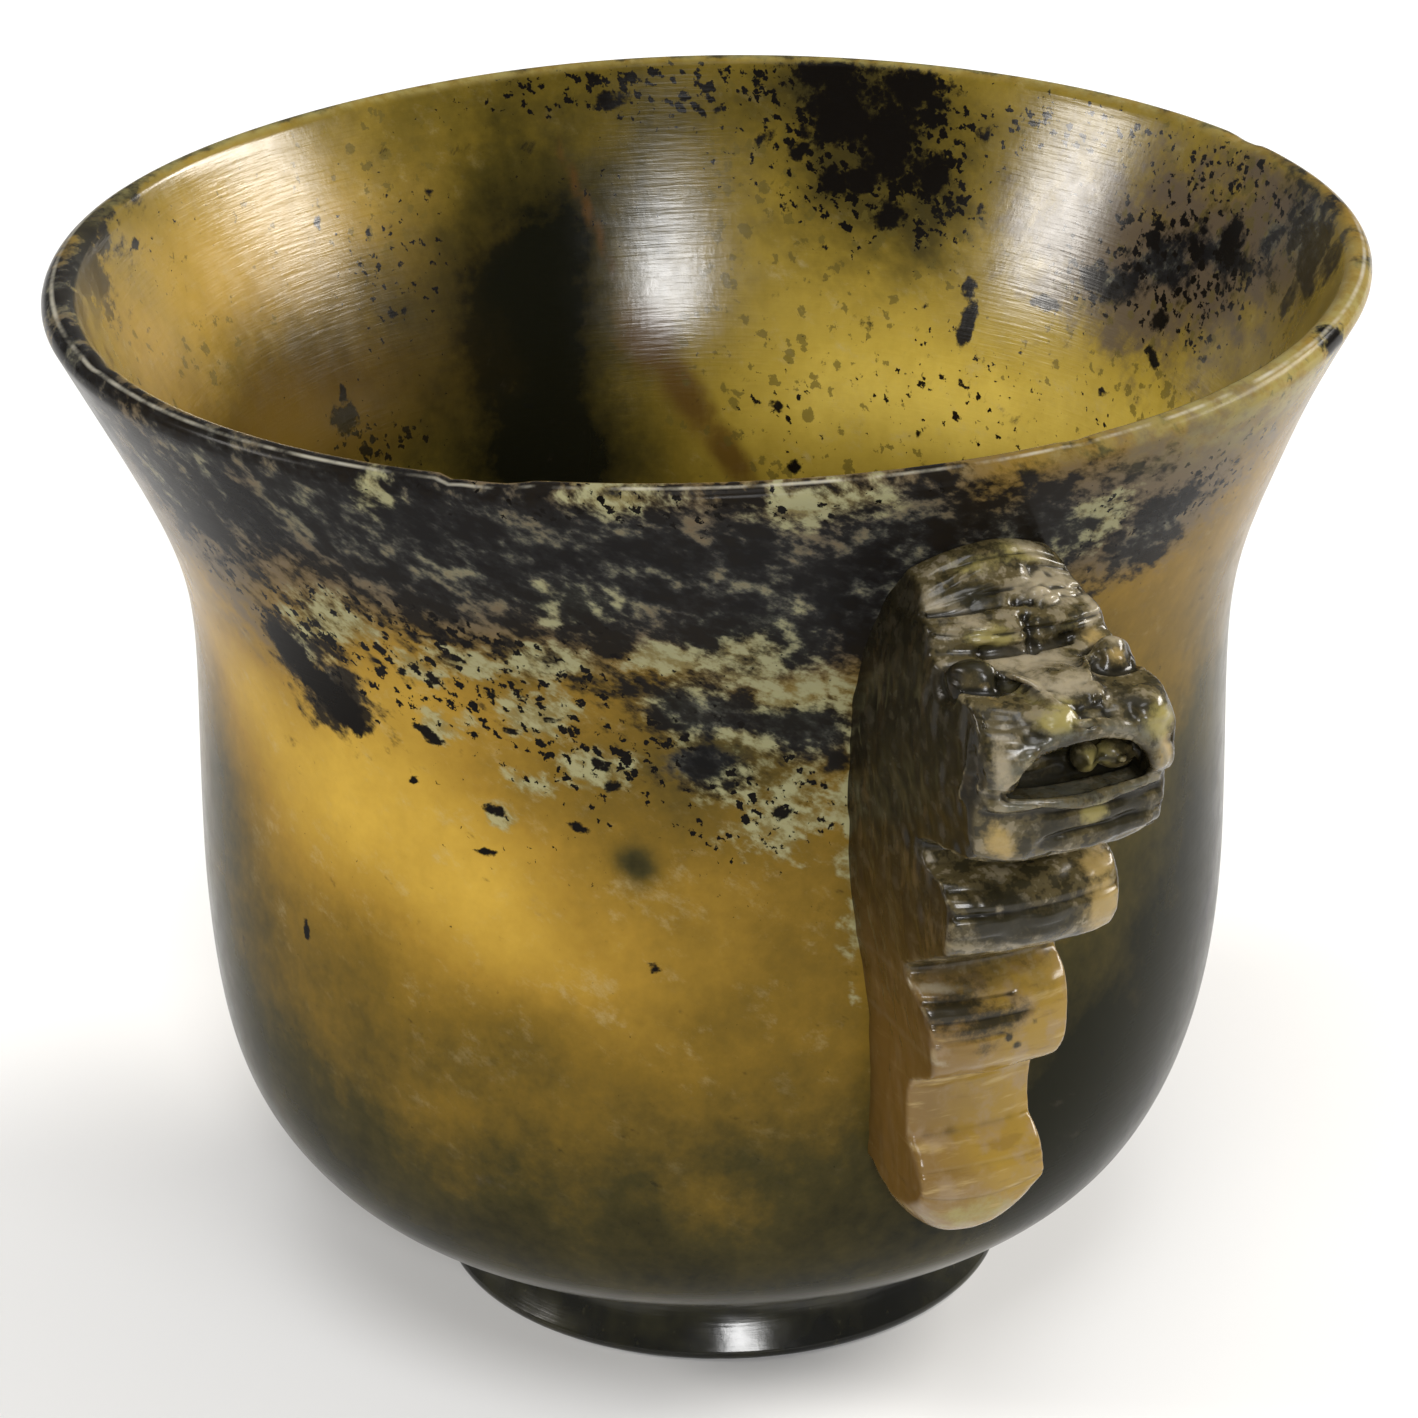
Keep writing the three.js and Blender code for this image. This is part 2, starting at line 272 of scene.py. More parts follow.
def spun(radius, height, turn):
    """Vertices of a section carried round the axis."""
    return np.stack([radius * np.cos(turn), radius * np.sin(turn), height], -1).reshape(-1, 3)


def arc(centre, radius, start, end, steps):
    """Points along part of a circle."""
    angles = np.linspace(start, end, steps + 1)
    return centre + radius * np.column_stack([np.cos(angles), np.sin(angles)])


def ripples(waver, height, waves):
    """Sum of the sine ripples in a table."""
    return sum(depth * np.sin(count * waver + start + height / run) for count, start, run, depth in waves)


def dents(facing, height):
    """Depth of the hollows and swellings over the wall."""
    push = np.zeros_like(height)
    for degrees, level, spread, rise, depth in DENTS:
        push += depth * np.exp(-(wrap(facing - degrees) / spread) ** 2 - ((height - level) / rise) ** 2)
    return push


def hand_ground(radius, height, facing, inner_share):
    """The turned section moved by the unevenness of hand grinding."""
    waver = np.radians(facing)
    push = dents(facing, height) + ripples(waver, height, WALL_RIPPLES)
    slack = ripples(waver, height, INNER_RIPPLES)
    lip_near = smooth(height, CUP_HEIGHT - LIP_REACH, CUP_HEIGHT)
    degrees, spread, depth = THICK_LIP
    thick = depth * np.exp(-(wrap(facing - degrees) / spread) ** 2) * lip_near
    above = smooth(height, GROUND_LOW, GROUND_FULL)
    radius = radius + above * (push + inner_share * (slack - thick))
    lift = RIM_TILT * radius * np.sin(waver) * smooth(height, TILT_FROM, CUP_HEIGHT)
    lift += lip_near * ripples(waver, height, RIM_RIPPLES)
    for degrees, spread, depth in NICKS:
        notch = np.exp(-(wrap(facing - degrees) / spread) ** 4)
        lift -= depth * notch * smooth(height, CUP_HEIGHT - NICK_REACH, CUP_HEIGHT)
    return radius, height + lift


def bowl_profile():
    """The section from below to inside, and how far over the lip each step is."""
    under = np.linspace(AXIS_RING, FOOT_TOP_RADIUS, UNDER_STEPS + 1)[:-1]
    start = np.column_stack([under, np.full(UNDER_STEPS, FOOT_HEIGHT)])
    lip = arc(LIP_CENTRE, LIP / 2, -LIP_LEAN, math.pi - LIP_LEAN, LIP_STEPS)
    inner = flare_curve(BELLY_RADIUS - WALL, LIP_CENTRE - WALL_OUT * LIP / 2, INNER_STEPS)[::-1]
    basin = basin_curve(BASIN_STEPS)[::-1]
    profile = np.vstack([start, OUTER_SIDE, lip[1:-1], inner, basin[1:-1]])
    edge = len(start) + len(OUTER_SIDE) - 1
    return profile, np.clip((np.arange(len(profile)) - edge) / LIP_STEPS, 0, 1)


def capped(vertices, faces, around, low, high):
    """The vertices and two more on the axis, with faces that close both ends."""
    under, over = len(vertices), len(vertices) + 1
    last = len(vertices) - around
    for j in range(around):
        k = (j + 1) % around
        faces.append((under, k, j))
        faces.append((over, last + j, last + k))
    return np.vstack([vertices, [(0, 0, low), (0, 0, high)]])


def bowl_piece(material):
    """The turned cup body as one closed skin."""
    profile, inside = bowl_profile()
    crest = 1 - np.abs(inside * 2 - 1)
    turn, radius, height = section_rings(profile, BOWL_AROUND)
    facing = np.degrees(turn - CAMERA_TURN)[None, :]
    radius, height = hand_ground(radius, height, facing, inside[:, None])
    faces = turned_faces(len(profile), BOWL_AROUND, False)
    vertices = spun(radius, height, turn)
    vertices = capped(vertices, faces, BOWL_AROUND, FOOT_HEIGHT, FOOT_HEIGHT + FLOOR)
    piece = new_object("cup_bowl", vertices, faces, material)
    inside = smooth(np.append(np.repeat(inside, BOWL_AROUND), (0, 1)), INSIDE_FROM, 1)
    set_attribute(piece, "inside", inside)
    set_attribute(piece, "crest", np.append(np.repeat(crest, BOWL_AROUND), (0, 0)))
    for name, values in bowl_stains(vertices, inside).items():
        set_attribute(piece, name, values)
    return piece


FOOT_WALL = 4
FOOT_EDGE = 0.7
FOOT_SHIFT = 0.4
FOOT_FLARE = 0.9
FOOT_FLARE_HEIGHT = 2.2
FOOT_WAIST_HEIGHT = 3.4
FOOT_CALM = 2


def foot_profile():
    """The foot ring's section, from its outer edge up and round."""
    inner = FOOT_RADIUS - FOOT_WALL
    inner_top = (FOOT_TOP_RADIUS - FOOT_WALL, FOOT_HEIGHT)
    high = (FOOT_TOP_RADIUS, FOOT_HEIGHT)
    edge = arc((FOOT_RADIUS - FOOT_EDGE, FOOT_EDGE), FOOT_EDGE, -math.pi / 2, 0, 7)[:-1]
    bend = (FOOT_RADIUS - FOOT_FLARE, FOOT_FLARE_HEIGHT)
    flank = bezier([(FOOT_RADIUS, FOOT_EDGE), bend, (FOOT_TOP_RADIUS, FOOT_WAIST_HEIGHT), high], 26)
    top = np.linspace(high, inner_top, 5)[1:]
    bore = np.linspace(inner_top, (inner, FOOT_EDGE), 14)[1:]
    heel = arc((inner + FOOT_EDGE, FOOT_EDGE), FOOT_EDGE, math.pi, 1.5 * math.pi, 5)[1:]
    base = np.linspace(heel[-1], (FOOT_RADIUS - FOOT_EDGE, 0), 6)[1:-1]
    return np.vstack([edge, flank, top, bore, heel, base])


def foot_piece(material):
    """The foot ring: a flared band with rounded edges, open underneath."""
    profile = foot_profile()
    turn, radius, height = section_rings(profile, FOOT_AROUND)
    waver = turn[None, :] - CAMERA_TURN
    radius = radius + smooth(height, 0, FOOT_CALM) * ripples(waver, height, FOOT_RIPPLES)
    right = np.array([-math.sin(CAMERA_TURN), math.cos(CAMERA_TURN), 0])
    vertices = spun(radius, height, turn) + FOOT_SHIFT * right
    return new_object("cup_foot", vertices, turned_faces(len(profile), FOOT_AROUND, True), material)


# Handle, in millimetres in its own frame: x out from the cup's axis, y across, z up.
# It is carved from a square block, then brought to its widths and bowed by the values at each height.
BLOCK_WIDTH = 10.7
TAIL_LOW = 20.6
CROWN_TOP = 69.9
ROOT_DEPTH = 1.3
VOXEL = 0.2
BOW_HEIGHTS = [20.6, 29, 35, 41, 46, 50, 55, 58, 62, 65, 68, 70]
HALF_WIDTHS = [4.4, 4.4, 4.5, 5.3, 5.8, 6.0, 6.2, 6.3, 6.3, 5.9, 5.3, 4.9]
BOW_DEPTHS = [0.5, 0.4, 0.5, 0.8, 1.0, 1.2, 2.0, 2.0, 1.8, 1.9, 1.4, 1.2]
CRISP_SIDE = 0.6
TAIL_LIFT = 2.6
CROWN_ARCH = 1.5
CROWN_LOW = 65.5
TAIL_REACH = 6
HEAD_LOW = 52
HEAD_FULL = 56
CURVE_STEPS = 8
ROOT_STEPS = 30

# Side outline from the tail round to the crown: a point, or a curve's middle and end
HANDLE_SIDE = [
    (36, 22.3),
    (36.6, 20.9, 39.6, 20.6),
    (43.6, 20.9, 44.05, 25.2),
    (44.05, 27.6, 42.0, 28.7),
    (41.6, 30.2, 41.9, 32.0),
    (42.3, 33.4, 44.4, 34.1),
    (46.3, 34.9, 46.4, 37.4),
    (46.3, 40.4, 43.8, 41.3),
    (43.6, 42.0),
    (50.4, 45.7),
    (51.7, 46.9, 51.6, 48.6),
    (51.4, 50.6, 48.9, 50.9),
    (47.3, 51.4, 47.6, 52.2),
    (49.6, 53.2, 54.0, 53.7),
    (55.7, 54.0, 55.8, 56.0),
    (55.9, 58.4),
    (56.9, 59.4),
    (57.2, 61.6),
    (57.0, 64.0, 54.6, 64.3),
    (51.4, 64.6, 50.0, 64.9),
    (48.6, 65.2),
    (48.5, 66.4),
    (48.0, 67.3, 46.6, 67.3),
    (46.1, 67.6),
    (45.9, 68.3, 44.8, 68.5),
    (44.4, 69.9, 42.4, 69.9),
]


def handle_outline():
    """The closed side outline, its inner edge sunk into the cup's wall."""
    points = [np.array(HANDLE_SIDE[0], float)]
    for item in HANDLE_SIDE[1:]:
        if len(item) == 2:
            points.append(np.array(item, float))
            continue
        a, b, c = points[-1], np.array(item[:2], float), np.array(item[2:], float)
        for t in np.linspace(0, 1, CURVE_STEPS + 1)[1:]:
            points.append((1 - t) ** 2 * a + 2 * t * (1 - t) * b + t * t * c)
    top, low = points[-1][1], points[0][1]
    for z in np.linspace(top, low, ROOT_STEPS):
        points.append(np.array([outer_radius(z) - ROOT_DEPTH, z]))
    return points


def prism(outline, low, high, place):
    """Vertices and faces of a closed prism; place turns (u, v, depth) into (x, y, z)."""
    count = len(outline)
    vertices = [place(u, v, depth) for depth in (low, high) for u, v in outline]
    faces = [tuple(range(count)), tuple(range(2 * count - 1, count - 1, -1))]
    for i in range(count):
        j = (i + 1) % count
        faces.append((j, i, count + i, count + j))
    return vertices, faces


POLE_GAP = 0.02


def ball(centre, radii, around=20, rings=12):
    """Vertices and faces of an ellipsoid."""
    lean = math.pi * (np.arange(rings + 1) + POLE_GAP) / (rings + 2 * POLE_GAP)
    turn, flat, level = section_rings(np.column_stack([np.sin(lean), np.cos(lean)]), around)
    vertices = (np.array(centre) + np.array(radii) * spun(flat, level, turn)).tolist()
    faces = [face[::-1] for face in turned_faces(rings + 1, around, False)]
    last = rings * around
    return vertices, faces + [tuple(range(around)), tuple(range(last + around - 1, last - 1, -1))]


def rod(points, radius):
    """Balls along a line, close enough to read as one bar."""
    parts = []
    points = [Vector(p) for p in points]
    for a, b in zip(points, points[1:]):
        steps = max(1, int((b - a).length / (radius * 0.6)))
        parts += [ball(a.lerp(b, i / steps), (radius,) * 3, 12, 8) for i in range(steps + 1)]
    return parts


def scratch_object(name, parts):
    """One object from several closed (vertices, faces) parts, all facing outwards."""
    vertices, faces = [], []
    for part_vertices, part_faces in parts:
        first = len(vertices)
        vertices += part_vertices
        faces += [tuple(first + i for i in face) for face in part_faces]
    mesh = bpy.data.meshes.new(name)
    mesh.from_pydata(vertices, [], faces)
    shell = bmesh.new()
    shell.from_mesh(mesh)
    bmesh.ops.recalc_face_normals(shell, faces=shell.faces)
    shell.to_mesh(mesh)
    shell.free()
    return linked(name, mesh)


def applied(piece):
    """The piece's mesh with its modifiers applied; the piece itself is removed."""
    graph = bpy.context.evaluated_depsgraph_get()
    mesh = bpy.data.meshes.new_from_object(piece.evaluated_get(graph))
    bpy.data.objects.remove(piece)
    return mesh


MOUTH_LOW = 58.7
MOUTH_TOP = 62.6
MOUTH_HALF = 4.0
MOUTH_BACK = 53.4
MOUTH_FRONT = 60
MOUTH_SILL = 0.3
ARCH_POINTS = 17
ARCH_POWER = 0.8
LIP_FRONT = 57.0
LIP_SET = 0.3
LIP_WIDER = 0.4
LIP_LIFT = 0.1
UPPER_LIP = 0.68
LOWER_LIP = 0.5
LOWER_LIP_POINTS = [(LIP_FRONT - 0.9, -4.6, 58.3), (LIP_FRONT - 0.7, 0, 58.2), (LIP_FRONT - 0.9, 4.6, 58.3)]

# Eye on the handle's +y side, and the rings chiselled round it: radius, width, depth
EYE = (51.4, 4.1, 64.6)
EYE_RING = (1.75, 0.28, 0.32)
PUPIL_RING = (0.9, 0.3, 0.3)

# Rounded features of the face on both sides: middle and half sizes
FACE_BALLS = [
    (EYE, (1.5, 1.35, 1.35)),
    ((47.3, 2.8, 66.1), (1.6, 2.3, 1.1)),
    ((54.3, 4.2, 55.9), (1.7, 1.1, 1.8)),
]
# Raised lines of the face on both sides: points and half width
FACE_RODS = [
    ([(51.0, 2.6, 64.9), (53.2, 1.7, 64.7), (55.4, 1.4, 64.3)], 0.42),
    ([(55.4, 4.9, 62.8), (55.9, 5.1, 60.6), (55.2, 5.1, 58.4)], 0.55),
]
# Teeth, crown, nostrils and bridge of the nose, uneven as they are carved
MIDDLE_BALLS = [
    ((54.2, 0.9, 60.0), (1.5, 0.8, 1.0)),
    ((54.1, 2.7, 59.8), (1.5, 1.0, 0.9)),
    ((45.4, 4.1, 67.5), (1.2, 0.9, 0.7)),
    ((46.1, 2.0, 67.4), (1.1, 1.2, 0.6)),
    ((52.4, 0, 64.2), (2.8, 2.0, 0.9)),
    ((55.5, -1.7, 63.3), (1.8, 1.7, 1.2)),
    ((55.6, 3.9, 62.8), (1.9, 1.6, 1.6)),
]


def mouth_arch(half, low, top):
    """Points over an arched mouth from one corner to the other."""
    turns = np.linspace(0, math.pi, ARCH_POINTS)
    return [(half * math.cos(t), low + (top - low) * math.sin(t) ** ARCH_POWER) for t in turns]


def cut_out(piece, cutter):
    """The piece's mesh with the cutter taken out; both objects are removed."""
    cut = piece.modifiers.new("mouth", "BOOLEAN")
    cut.operation = "DIFFERENCE"
    cut.solver = "EXACT"
    cut.object = cutter
    mesh = applied(piece)
    bpy.data.objects.remove(cutter)
    return mesh


def mouthed_block():
    """The side outline as a square block with its mouth cut out."""
    half = BLOCK_WIDTH / 2
    side = prism(handle_outline(), -half, half, lambda u, v, depth: (u, depth, v))
    sill = MOUTH_LOW - MOUTH_SILL
    arch = [(-MOUTH_HALF, sill), (MOUTH_HALF, sill)] + mouth_arch(MOUTH_HALF, MOUTH_LOW, MOUTH_TOP)
    mouth = prism(arch, MOUTH_BACK, MOUTH_FRONT, lambda u, v, depth: (depth, u, v))
    return cut_out(scratch_object("handle_block", [side]), scratch_object("mouth_cut", [mouth]))


def face_parts():
    """Rounded features and raised lines of the face."""
    parts = []
    for side in (-1, 1):
        parts += [ball((x, side * y, z), radii) for (x, y, z), radii in FACE_BALLS]
        for points, radius in FACE_RODS:
            parts += rod([(x, side * y, z) for x, y, z in points], radius)
    parts += [ball(middle, radii) for middle, radii in MIDDLE_BALLS]
    arch = mouth_arch(MOUTH_HALF + LIP_WIDER, MOUTH_LOW + LIP_LIFT, MOUTH_TOP + LIP_WIDER)[1:-1]
    parts += rod([(LIP_FRONT - LIP_SET, y, z) for y, z in arch], UPPER_LIP)
    return parts + rod(LOWER_LIP_POINTS, LOWER_LIP)


def handle_block():
    """The block and the features of its face, as parts that overlap."""
    mesh = mouthed_block()
    block = ([tuple(v.co) for v in mesh.vertices], [tuple(f.vertices) for f in mesh.polygons])
    bpy.data.meshes.remove(mesh)
    return scratch_object("handle_union", [block] + face_parts())


def remeshed(piece):
    """One even skin round the piece, softened as by polishing."""
    modifier = piece.modifiers.new("skin", "REMESH")
    modifier.mode = "VOXEL"
    modifier.voxel_size = VOXEL
    modifier.use_smooth_shade = True
    soft = piece.modifiers.new("polish", "SMOOTH")
    soft.factor = 0.5
    soft.iterations = 3
    return applied(piece)


# Chisel lines on the face and flange: points (y, z) on the outer side, width, depth
FRONT_LINES = [
    ([(-2.6, 65.2), (0, 65.1), (2.6, 65.2)], 0.35, 0.35),
    ([(0.3, 65.3), (0.3, 67.2)], 0.3, 0.55),
    ([(-5.2, 67.4), (-2, 67.2), (2, 67.1), (5.2, 67.3)], 0.22, 0.28),
    ([(-5.0, 68.0), (-2.6, 68.1), (0.4, 68.0)], 0.18, 0.18),
    ([(-3.4, 68.7), (-1, 69.1), (1.6, 69.1), (3.4, 68.6)], 0.18, 0.16),
    ([(2.2, 68.0), (3.4, 68.5), (4.2, 68.2)], 0.18, 0.18),
    ([(-4.9, 57.5), (-2, 57.4), (2, 57.4), (4.9, 57.5)], 0.25, 0.14),
    ([(0, 64.0), (0, 62.8)], 0.25, 0.25),
    ([(-5.2, 48.9), (5.2, 48.9)], 0.3, 0.2),
    ([(-4.8, 43.0), (4.8, 43.0)], 0.4, 0.3),
    ([(-5.2, 40.2), (1, 40.0)], 0.2, 0.22),
    ([(-5.2, 38.9), (2, 38.8)], 0.2, 0.2),
    ([(-5.2, 37.6), (0, 37.7)], 0.18, 0.16),
    ([(-5.2, 33.0), (5.2, 33.0)], 0.2, 0.22),
    ([(-5.2, 26.9), (5.2, 26.8)], 0.15, 0.1),
    ([(-5.2, 24.7), (5.2, 24.7)], 0.15, 0.1),
]
# Cracks over the head's front: stretch of the noise, its cell, its seed, depth
CRACKS = [((1, 0.4, 1.1), 1.6, 14, 0.9), ((1, 0.6, 1), 0.9, 15, 0.2)]
CRACK_WIDTH = 0.4
HOLLOW_DEPTH = 0.16
HOLLOW_ROUNDS = 14
FLANK_ROUNDS = 3


def line_distance(points, line):
    """Distance of 2-D points from a chain of straight pieces."""
    best = np.full(len(points), 1e9)
    for a, b in zip(np.array(line[:-1], float), np.array(line[1:], float)):
        along = b - a
        t = np.clip((points - a) @ along / (along @ along), 0, 1)
        best = np.minimum(best, np.linalg.norm(points - a - t[:, None] * along, axis=1))
    return best


def read_all(items, name, width, kind=float):
    """One named property of a mesh's elements as an array."""
    values = np.empty(len(items) * width, kind)
    items.foreach_get(name, values)
    return values.reshape(-1, width)


def averaged(values, edges, rounds):
    """Values spread evenly to their neighbours, a given number of times."""
    count = np.bincount(edges.ravel(), minlength=len(values))[:, None]
    for _ in range(rounds):
        total = np.zeros_like(values)
        np.add.at(total, edges[:, 0], values[edges[:, 1]])
        np.add.at(total, edges[:, 1], values[edges[:, 0]])
        values = 0.5 * values + 0.5 * total / np.maximum(count, 1)
    return values


def groove(away, ring):
    """Depth of a ring-shaped groove at distances from its middle."""
    radius, width, depth = ring
    return depth * np.exp(-((away - radius) / width) ** 2)


def chiselled(place, normal):
    """How far chisel lines and eye rings move the surface."""
    outward = smooth(normal[:, 0], 0.05, 0.4)
    push = np.zeros(len(place))
    for line, width, depth in FRONT_LINES:
        away = line_distance(place[:, 1:], line)
        push -= depth * outward * np.exp(-(away / width) ** 2)
    for side in (-1, 1):
        away = np.linalg.norm(place - (EYE[0], side * EYE[1], EYE[2]), axis=1)
        push -= groove(away, EYE_RING)
        push -= groove(away, PUPIL_RING) * smooth(normal[:, 1] * side + normal[:, 0], 0.6, 1.2)
    return push


def weathered(place, normal):
    """How far unevenness, cracks and rough sides move the surface."""
    push = 0.10 * lattice_noise(place, 2.6, 11) + 0.05 * lattice_noise(place, 1.0, 12)
    front = smooth(place[:, 2], 42, 54) * smooth(normal[:, 0], 0.0, 0.5)
    for stretch, cell, seed, depth in CRACKS:
        crack = np.maximum(0, CRACK_WIDTH - np.abs(lattice_noise(place * stretch, cell, seed)))
        push -= depth * front * crack
    sides = smooth(np.abs(normal[:, 1]), 0.5, 0.9)
    return push + 0.06 * sides * lattice_noise(place * (1, 1, 0.5), 0.7, 13)


def handle_shape():
    """Vertices, faces, hollow-or-ridge and side-or-front values of one handle in its own frame."""
    mesh = remeshed(handle_block())
    place = read_all(mesh.vertices, "co", 3)
    normal = read_all(mesh.vertices, "normal", 3)
    edges = read_all(mesh.edges, "vertices", 2, int)
    faces = [tuple(p.vertices) for p in mesh.polygons]
    bpy.data.meshes.remove(mesh)
    push = chiselled(place, normal) + weathered(place, normal)
    place = bowed(place + normal * push[:, None])
    wide = averaged(place, edges, HOLLOW_ROUNDS)
    hollow = np.sum((wide - place) * normal, axis=1) / HOLLOW_DEPTH
    hollow = averaged(np.clip(hollow, -1, 1)[:, None], edges, 1)[:, 0]
    flank = averaged(smooth(np.abs(normal[:, 1:2]), 0.45, 0.85), edges, FLANK_ROUNDS)[:, 0]
    return place, faces, hollow, flank


def bowed(place):
    """The square-carved handle narrowed, bowed in front, rounded at tail and crown."""
    x, y, z = place.T
    across = np.abs(y) / (BLOCK_WIDTH / 2)
    out = smooth(x - outer_radius(z), 0.5, 6)
    low = smooth(TAIL_LOW + TAIL_REACH - z, 0, TAIL_REACH)
    crisp = 1 - CRISP_SIDE * smooth(y, 0, 2) * smooth(z, HEAD_LOW, HEAD_FULL)
    new_x = x - np.interp(z, BOW_HEIGHTS, BOW_DEPTHS) * crisp * out * across ** 2.4
    new_y = y * np.interp(z, BOW_HEIGHTS, HALF_WIDTHS) / (BLOCK_WIDTH / 2)
    arch = CROWN_ARCH * smooth(z, CROWN_LOW, CROWN_TOP) * across ** 2
    new_z = z + TAIL_LIFT * low * across ** 2.6 - arch
    return np.column_stack([new_x, new_y, new_z])


# Colours on the handle's front, some of them painted light and shade: across, height, half width, half
# height, tilt, weight
# The small pale spot at -2.8 across, 49 high on the collar is a painted highlight
FRONT_PALE = [
    (2.8, 67.6, 2.4, 0.7, -6, 1), (5.2, 66.4, 0.7, 0.6, 0, 1), (-4.6, 67.4, 0.8, 1.0, 0, 0.7),
    (0, 64.7, 2.2, 0.4, 0, 0.9), (-1.5, 65.0, 1.6, 0.35, 10, 0.8), (-5.2, 60.5, 0.5, 2.6, 8, 0.95),
    (4.6, 65.9, 0.7, 0.4, 0, 0.8), (2.6, 69.2, 1.8, 0.4, -20, 0.7), (-3.0, 66.9, 1.2, 0.3, 0, 0.7),
    (-2.6, 53.4, 1.4, 0.6, -40, 0.7), (5.0, 52.6, 1.2, 0.4, -30, 0.7), (-1.5, 46.2, 2.6, 0.5, -8, 0.6),
    (-2.8, 49.0, 0.4, 0.5, 20, 0.6), (-4.0, 40.8, 2.0, 0.3, -6, 0.8), (-4.4, 36.2, 1.0, 0.4, -20, 0.7),
]
# The tan on the collar's right side, at 4.6 across, is painted light
FRONT_TAN = [
    (4.6, 47.6, 1.5, 2.4, 0, 1), (4.6, 50.2, 1.3, 0.7, 0, 1), (-4.7, 55.6, 0.8, 1.4, 20, 0.9),
    (5.2, 60.6, 0.8, 1.6, 0, 0.8), (4.4, 65.1, 0.9, 0.6, 0, 0.7), (-4.5, 64.6, 0.45, 0.4, 0, 0.6),
]
FRONT_GREEN = [
    (-2.2, 66.0, 1.5, 0.7, 0, 1), (3.2, 66.1, 1.2, 0.5, 0, 0.5), (-1.7, 63.8, 1.5, 0.7, 8, 1),
    (4.8, 62.6, 1.1, 1.2, 10, 1), (1.4, 60.0, 1.6, 0.9, 0, 0.9), (1.0, 57.2, 0.9, 1.0, 10, 0.9),
    (1.8, 69.3, 1.8, 0.5, -15, 0.8), (0, 69.2, 3.4, 0.6, 0, 0.6), (-0.6, 23.2, 3.4, 1.4, 0, 0.75),
]
# The dark on the collar's left middle, in the mouth and under it is painted shade
FRONT_DARK = [
    (-2.0, 67.7, 2.0, 0.6, 0, 0.9), (-1.8, 62.0, 2.8, 0.9, 25, 0.9), (3.4, 63.9, 1.4, 0.45, -12, 0.9),
    (-3.2, 62.8, 1.8, 0.8, 35, 0.8), (3.2, 56.2, 2.6, 1.6, 0, 0.95), (-1.6, 56.2, 2.2, 1.4, 0, 0.8),
    (-2.6, 48.4, 2.8, 2.0, 0, 1), (0.6, 47.8, 2.2, 1.4, 0, 0.9), (-3.4, 39.6, 2.4, 1.3, 10, 0.95),
    (-1.0, 38.5, 3.0, 1.2, 8, 0.85), (-1.2, 36.9, 1.6, 0.7, 14, 0.6), (-2.0, 44.2, 3.6, 1.2, -20, 0.8),
    (2.6, 43.4, 2.4, 1.0, -20, 0.7), (0.9, 36.6, 0.3, 0.3, 0, 1), (0.3, 37.3, 0.25, 0.3, 0, 1),
    (2.2, 38.0, 0.2, 0.25, 0, 0.9), (5.2, 66.9, 0.6, 0.6, 0, 0.5), (2.2, 66.0, 2.0, 0.6, 0, 0.7),
    (-4.4, 63.8, 1.0, 0.6, 0, 0.6), (-0.5, 60.4, 3.8, 1.4, 8, 0.7),
]
FRONT_FIELDS = {"pale": FRONT_PALE, "tan": FRONT_TAN, "green": FRONT_GREEN, "dark": FRONT_DARK}
# Dark ring round the eye on the -y side, and the paler line of the lips
SHADE_RING = (1.35, 0.45, 1.0)
LIP_GAP = 0.5
LIP_LINE = 0.42
LOWER_LIP_LINE = [(-4.8, 58.3), (5.2, 58.3)]


def front_hills(place, spots):
    """Soft hills over the handle's front, the highest at each point."""
    y, z = place[:, 1], place[:, 2]
    return np.max([
        weight * np.exp(-HILL_FALL * ellipse_reach(y - across, z - height, *shape) ** 2)
        for across, height, *shape, weight in spots
    ], axis=0)


def front_fields(place):
    """Where each sort of stone, and the painted light and shade, lie on the handle's front, as named
    fields.
    """
    fields = {name: front_hills(place, spots) for name, spots in FRONT_FIELDS.items()}
    eye = bowed(np.array([(EYE[0], -EYE[1], EYE[2])]))[0]
    ring = groove(np.linalg.norm(place - eye, axis=1), SHADE_RING)
    fields["dark"] = np.maximum(fields["dark"], ring)
    wide = max(HALF_WIDTHS) / (BLOCK_WIDTH / 2)
    arch = mouth_arch(MOUTH_HALF + LIP_GAP, MOUTH_LOW, MOUTH_TOP + LIP_GAP)
    upper = line_distance(place[:, 1:], [(y * wide, z) for y, z in arch])
    lower = line_distance(place[:, 1:], LOWER_LIP_LINE)
    fields["lip"] = np.exp(-(np.minimum(upper, lower) / LIP_LINE) ** 2)
    return fields


def handle_piece(name, shape, turn, material):
    """One handle turned to its place, with the fields its material reads."""
    place, faces, hollow, flank = shape
    c, s = math.cos(turn), math.sin(turn)
    x, y, z = place.T
    piece = new_object(name, np.column_stack([c * x - s * y, s * x + c * y, z]), faces, material)
    set_attribute(piece, "hollow", hollow)
    set_attribute(piece, "flank", flank)
    for field, values in front_fields(place).items():
        set_attribute(piece, field, values)
    return piece


class Paint:
    """One material and the nodes that make its values."""

    def __init__(self, name):
        self.material = bpy.data.materials.new(name)
        self.material.use_nodes = True
        self.nodes = self.material.node_tree.nodes
        self.links = self.material.node_tree.links

    def feed(self, inputs, values):
        """Sets a node's inputs, or links them to other nodes."""
        for key, value in values.items():
            if isinstance(value, Value):
                self.links.new(value.socket, inputs[key])
            else:
                inputs[key].default_value = value

    def new(self, kind, inputs, output=0, **settings):
        node = self.nodes.new("ShaderNode" + kind)
        for key, value in settings.items():
            setattr(node, key, value)
        self.feed(node.inputs, inputs)
        return Value(self, node.outputs[output])

    def place(self):
        """Place on the object in millimetres."""
        return self.new("TexCoord", {}, "Object").vector("SCALE", {"Scale": 1 / MM})

    def field(self, name):
        """A number kept on each vertex."""
        return self.new("Attribute", {}, "Fac", attribute_name=name)

    def surface(self, values):
        self.feed(self.nodes["Principled BSDF"].inputs, values)
        return self.material


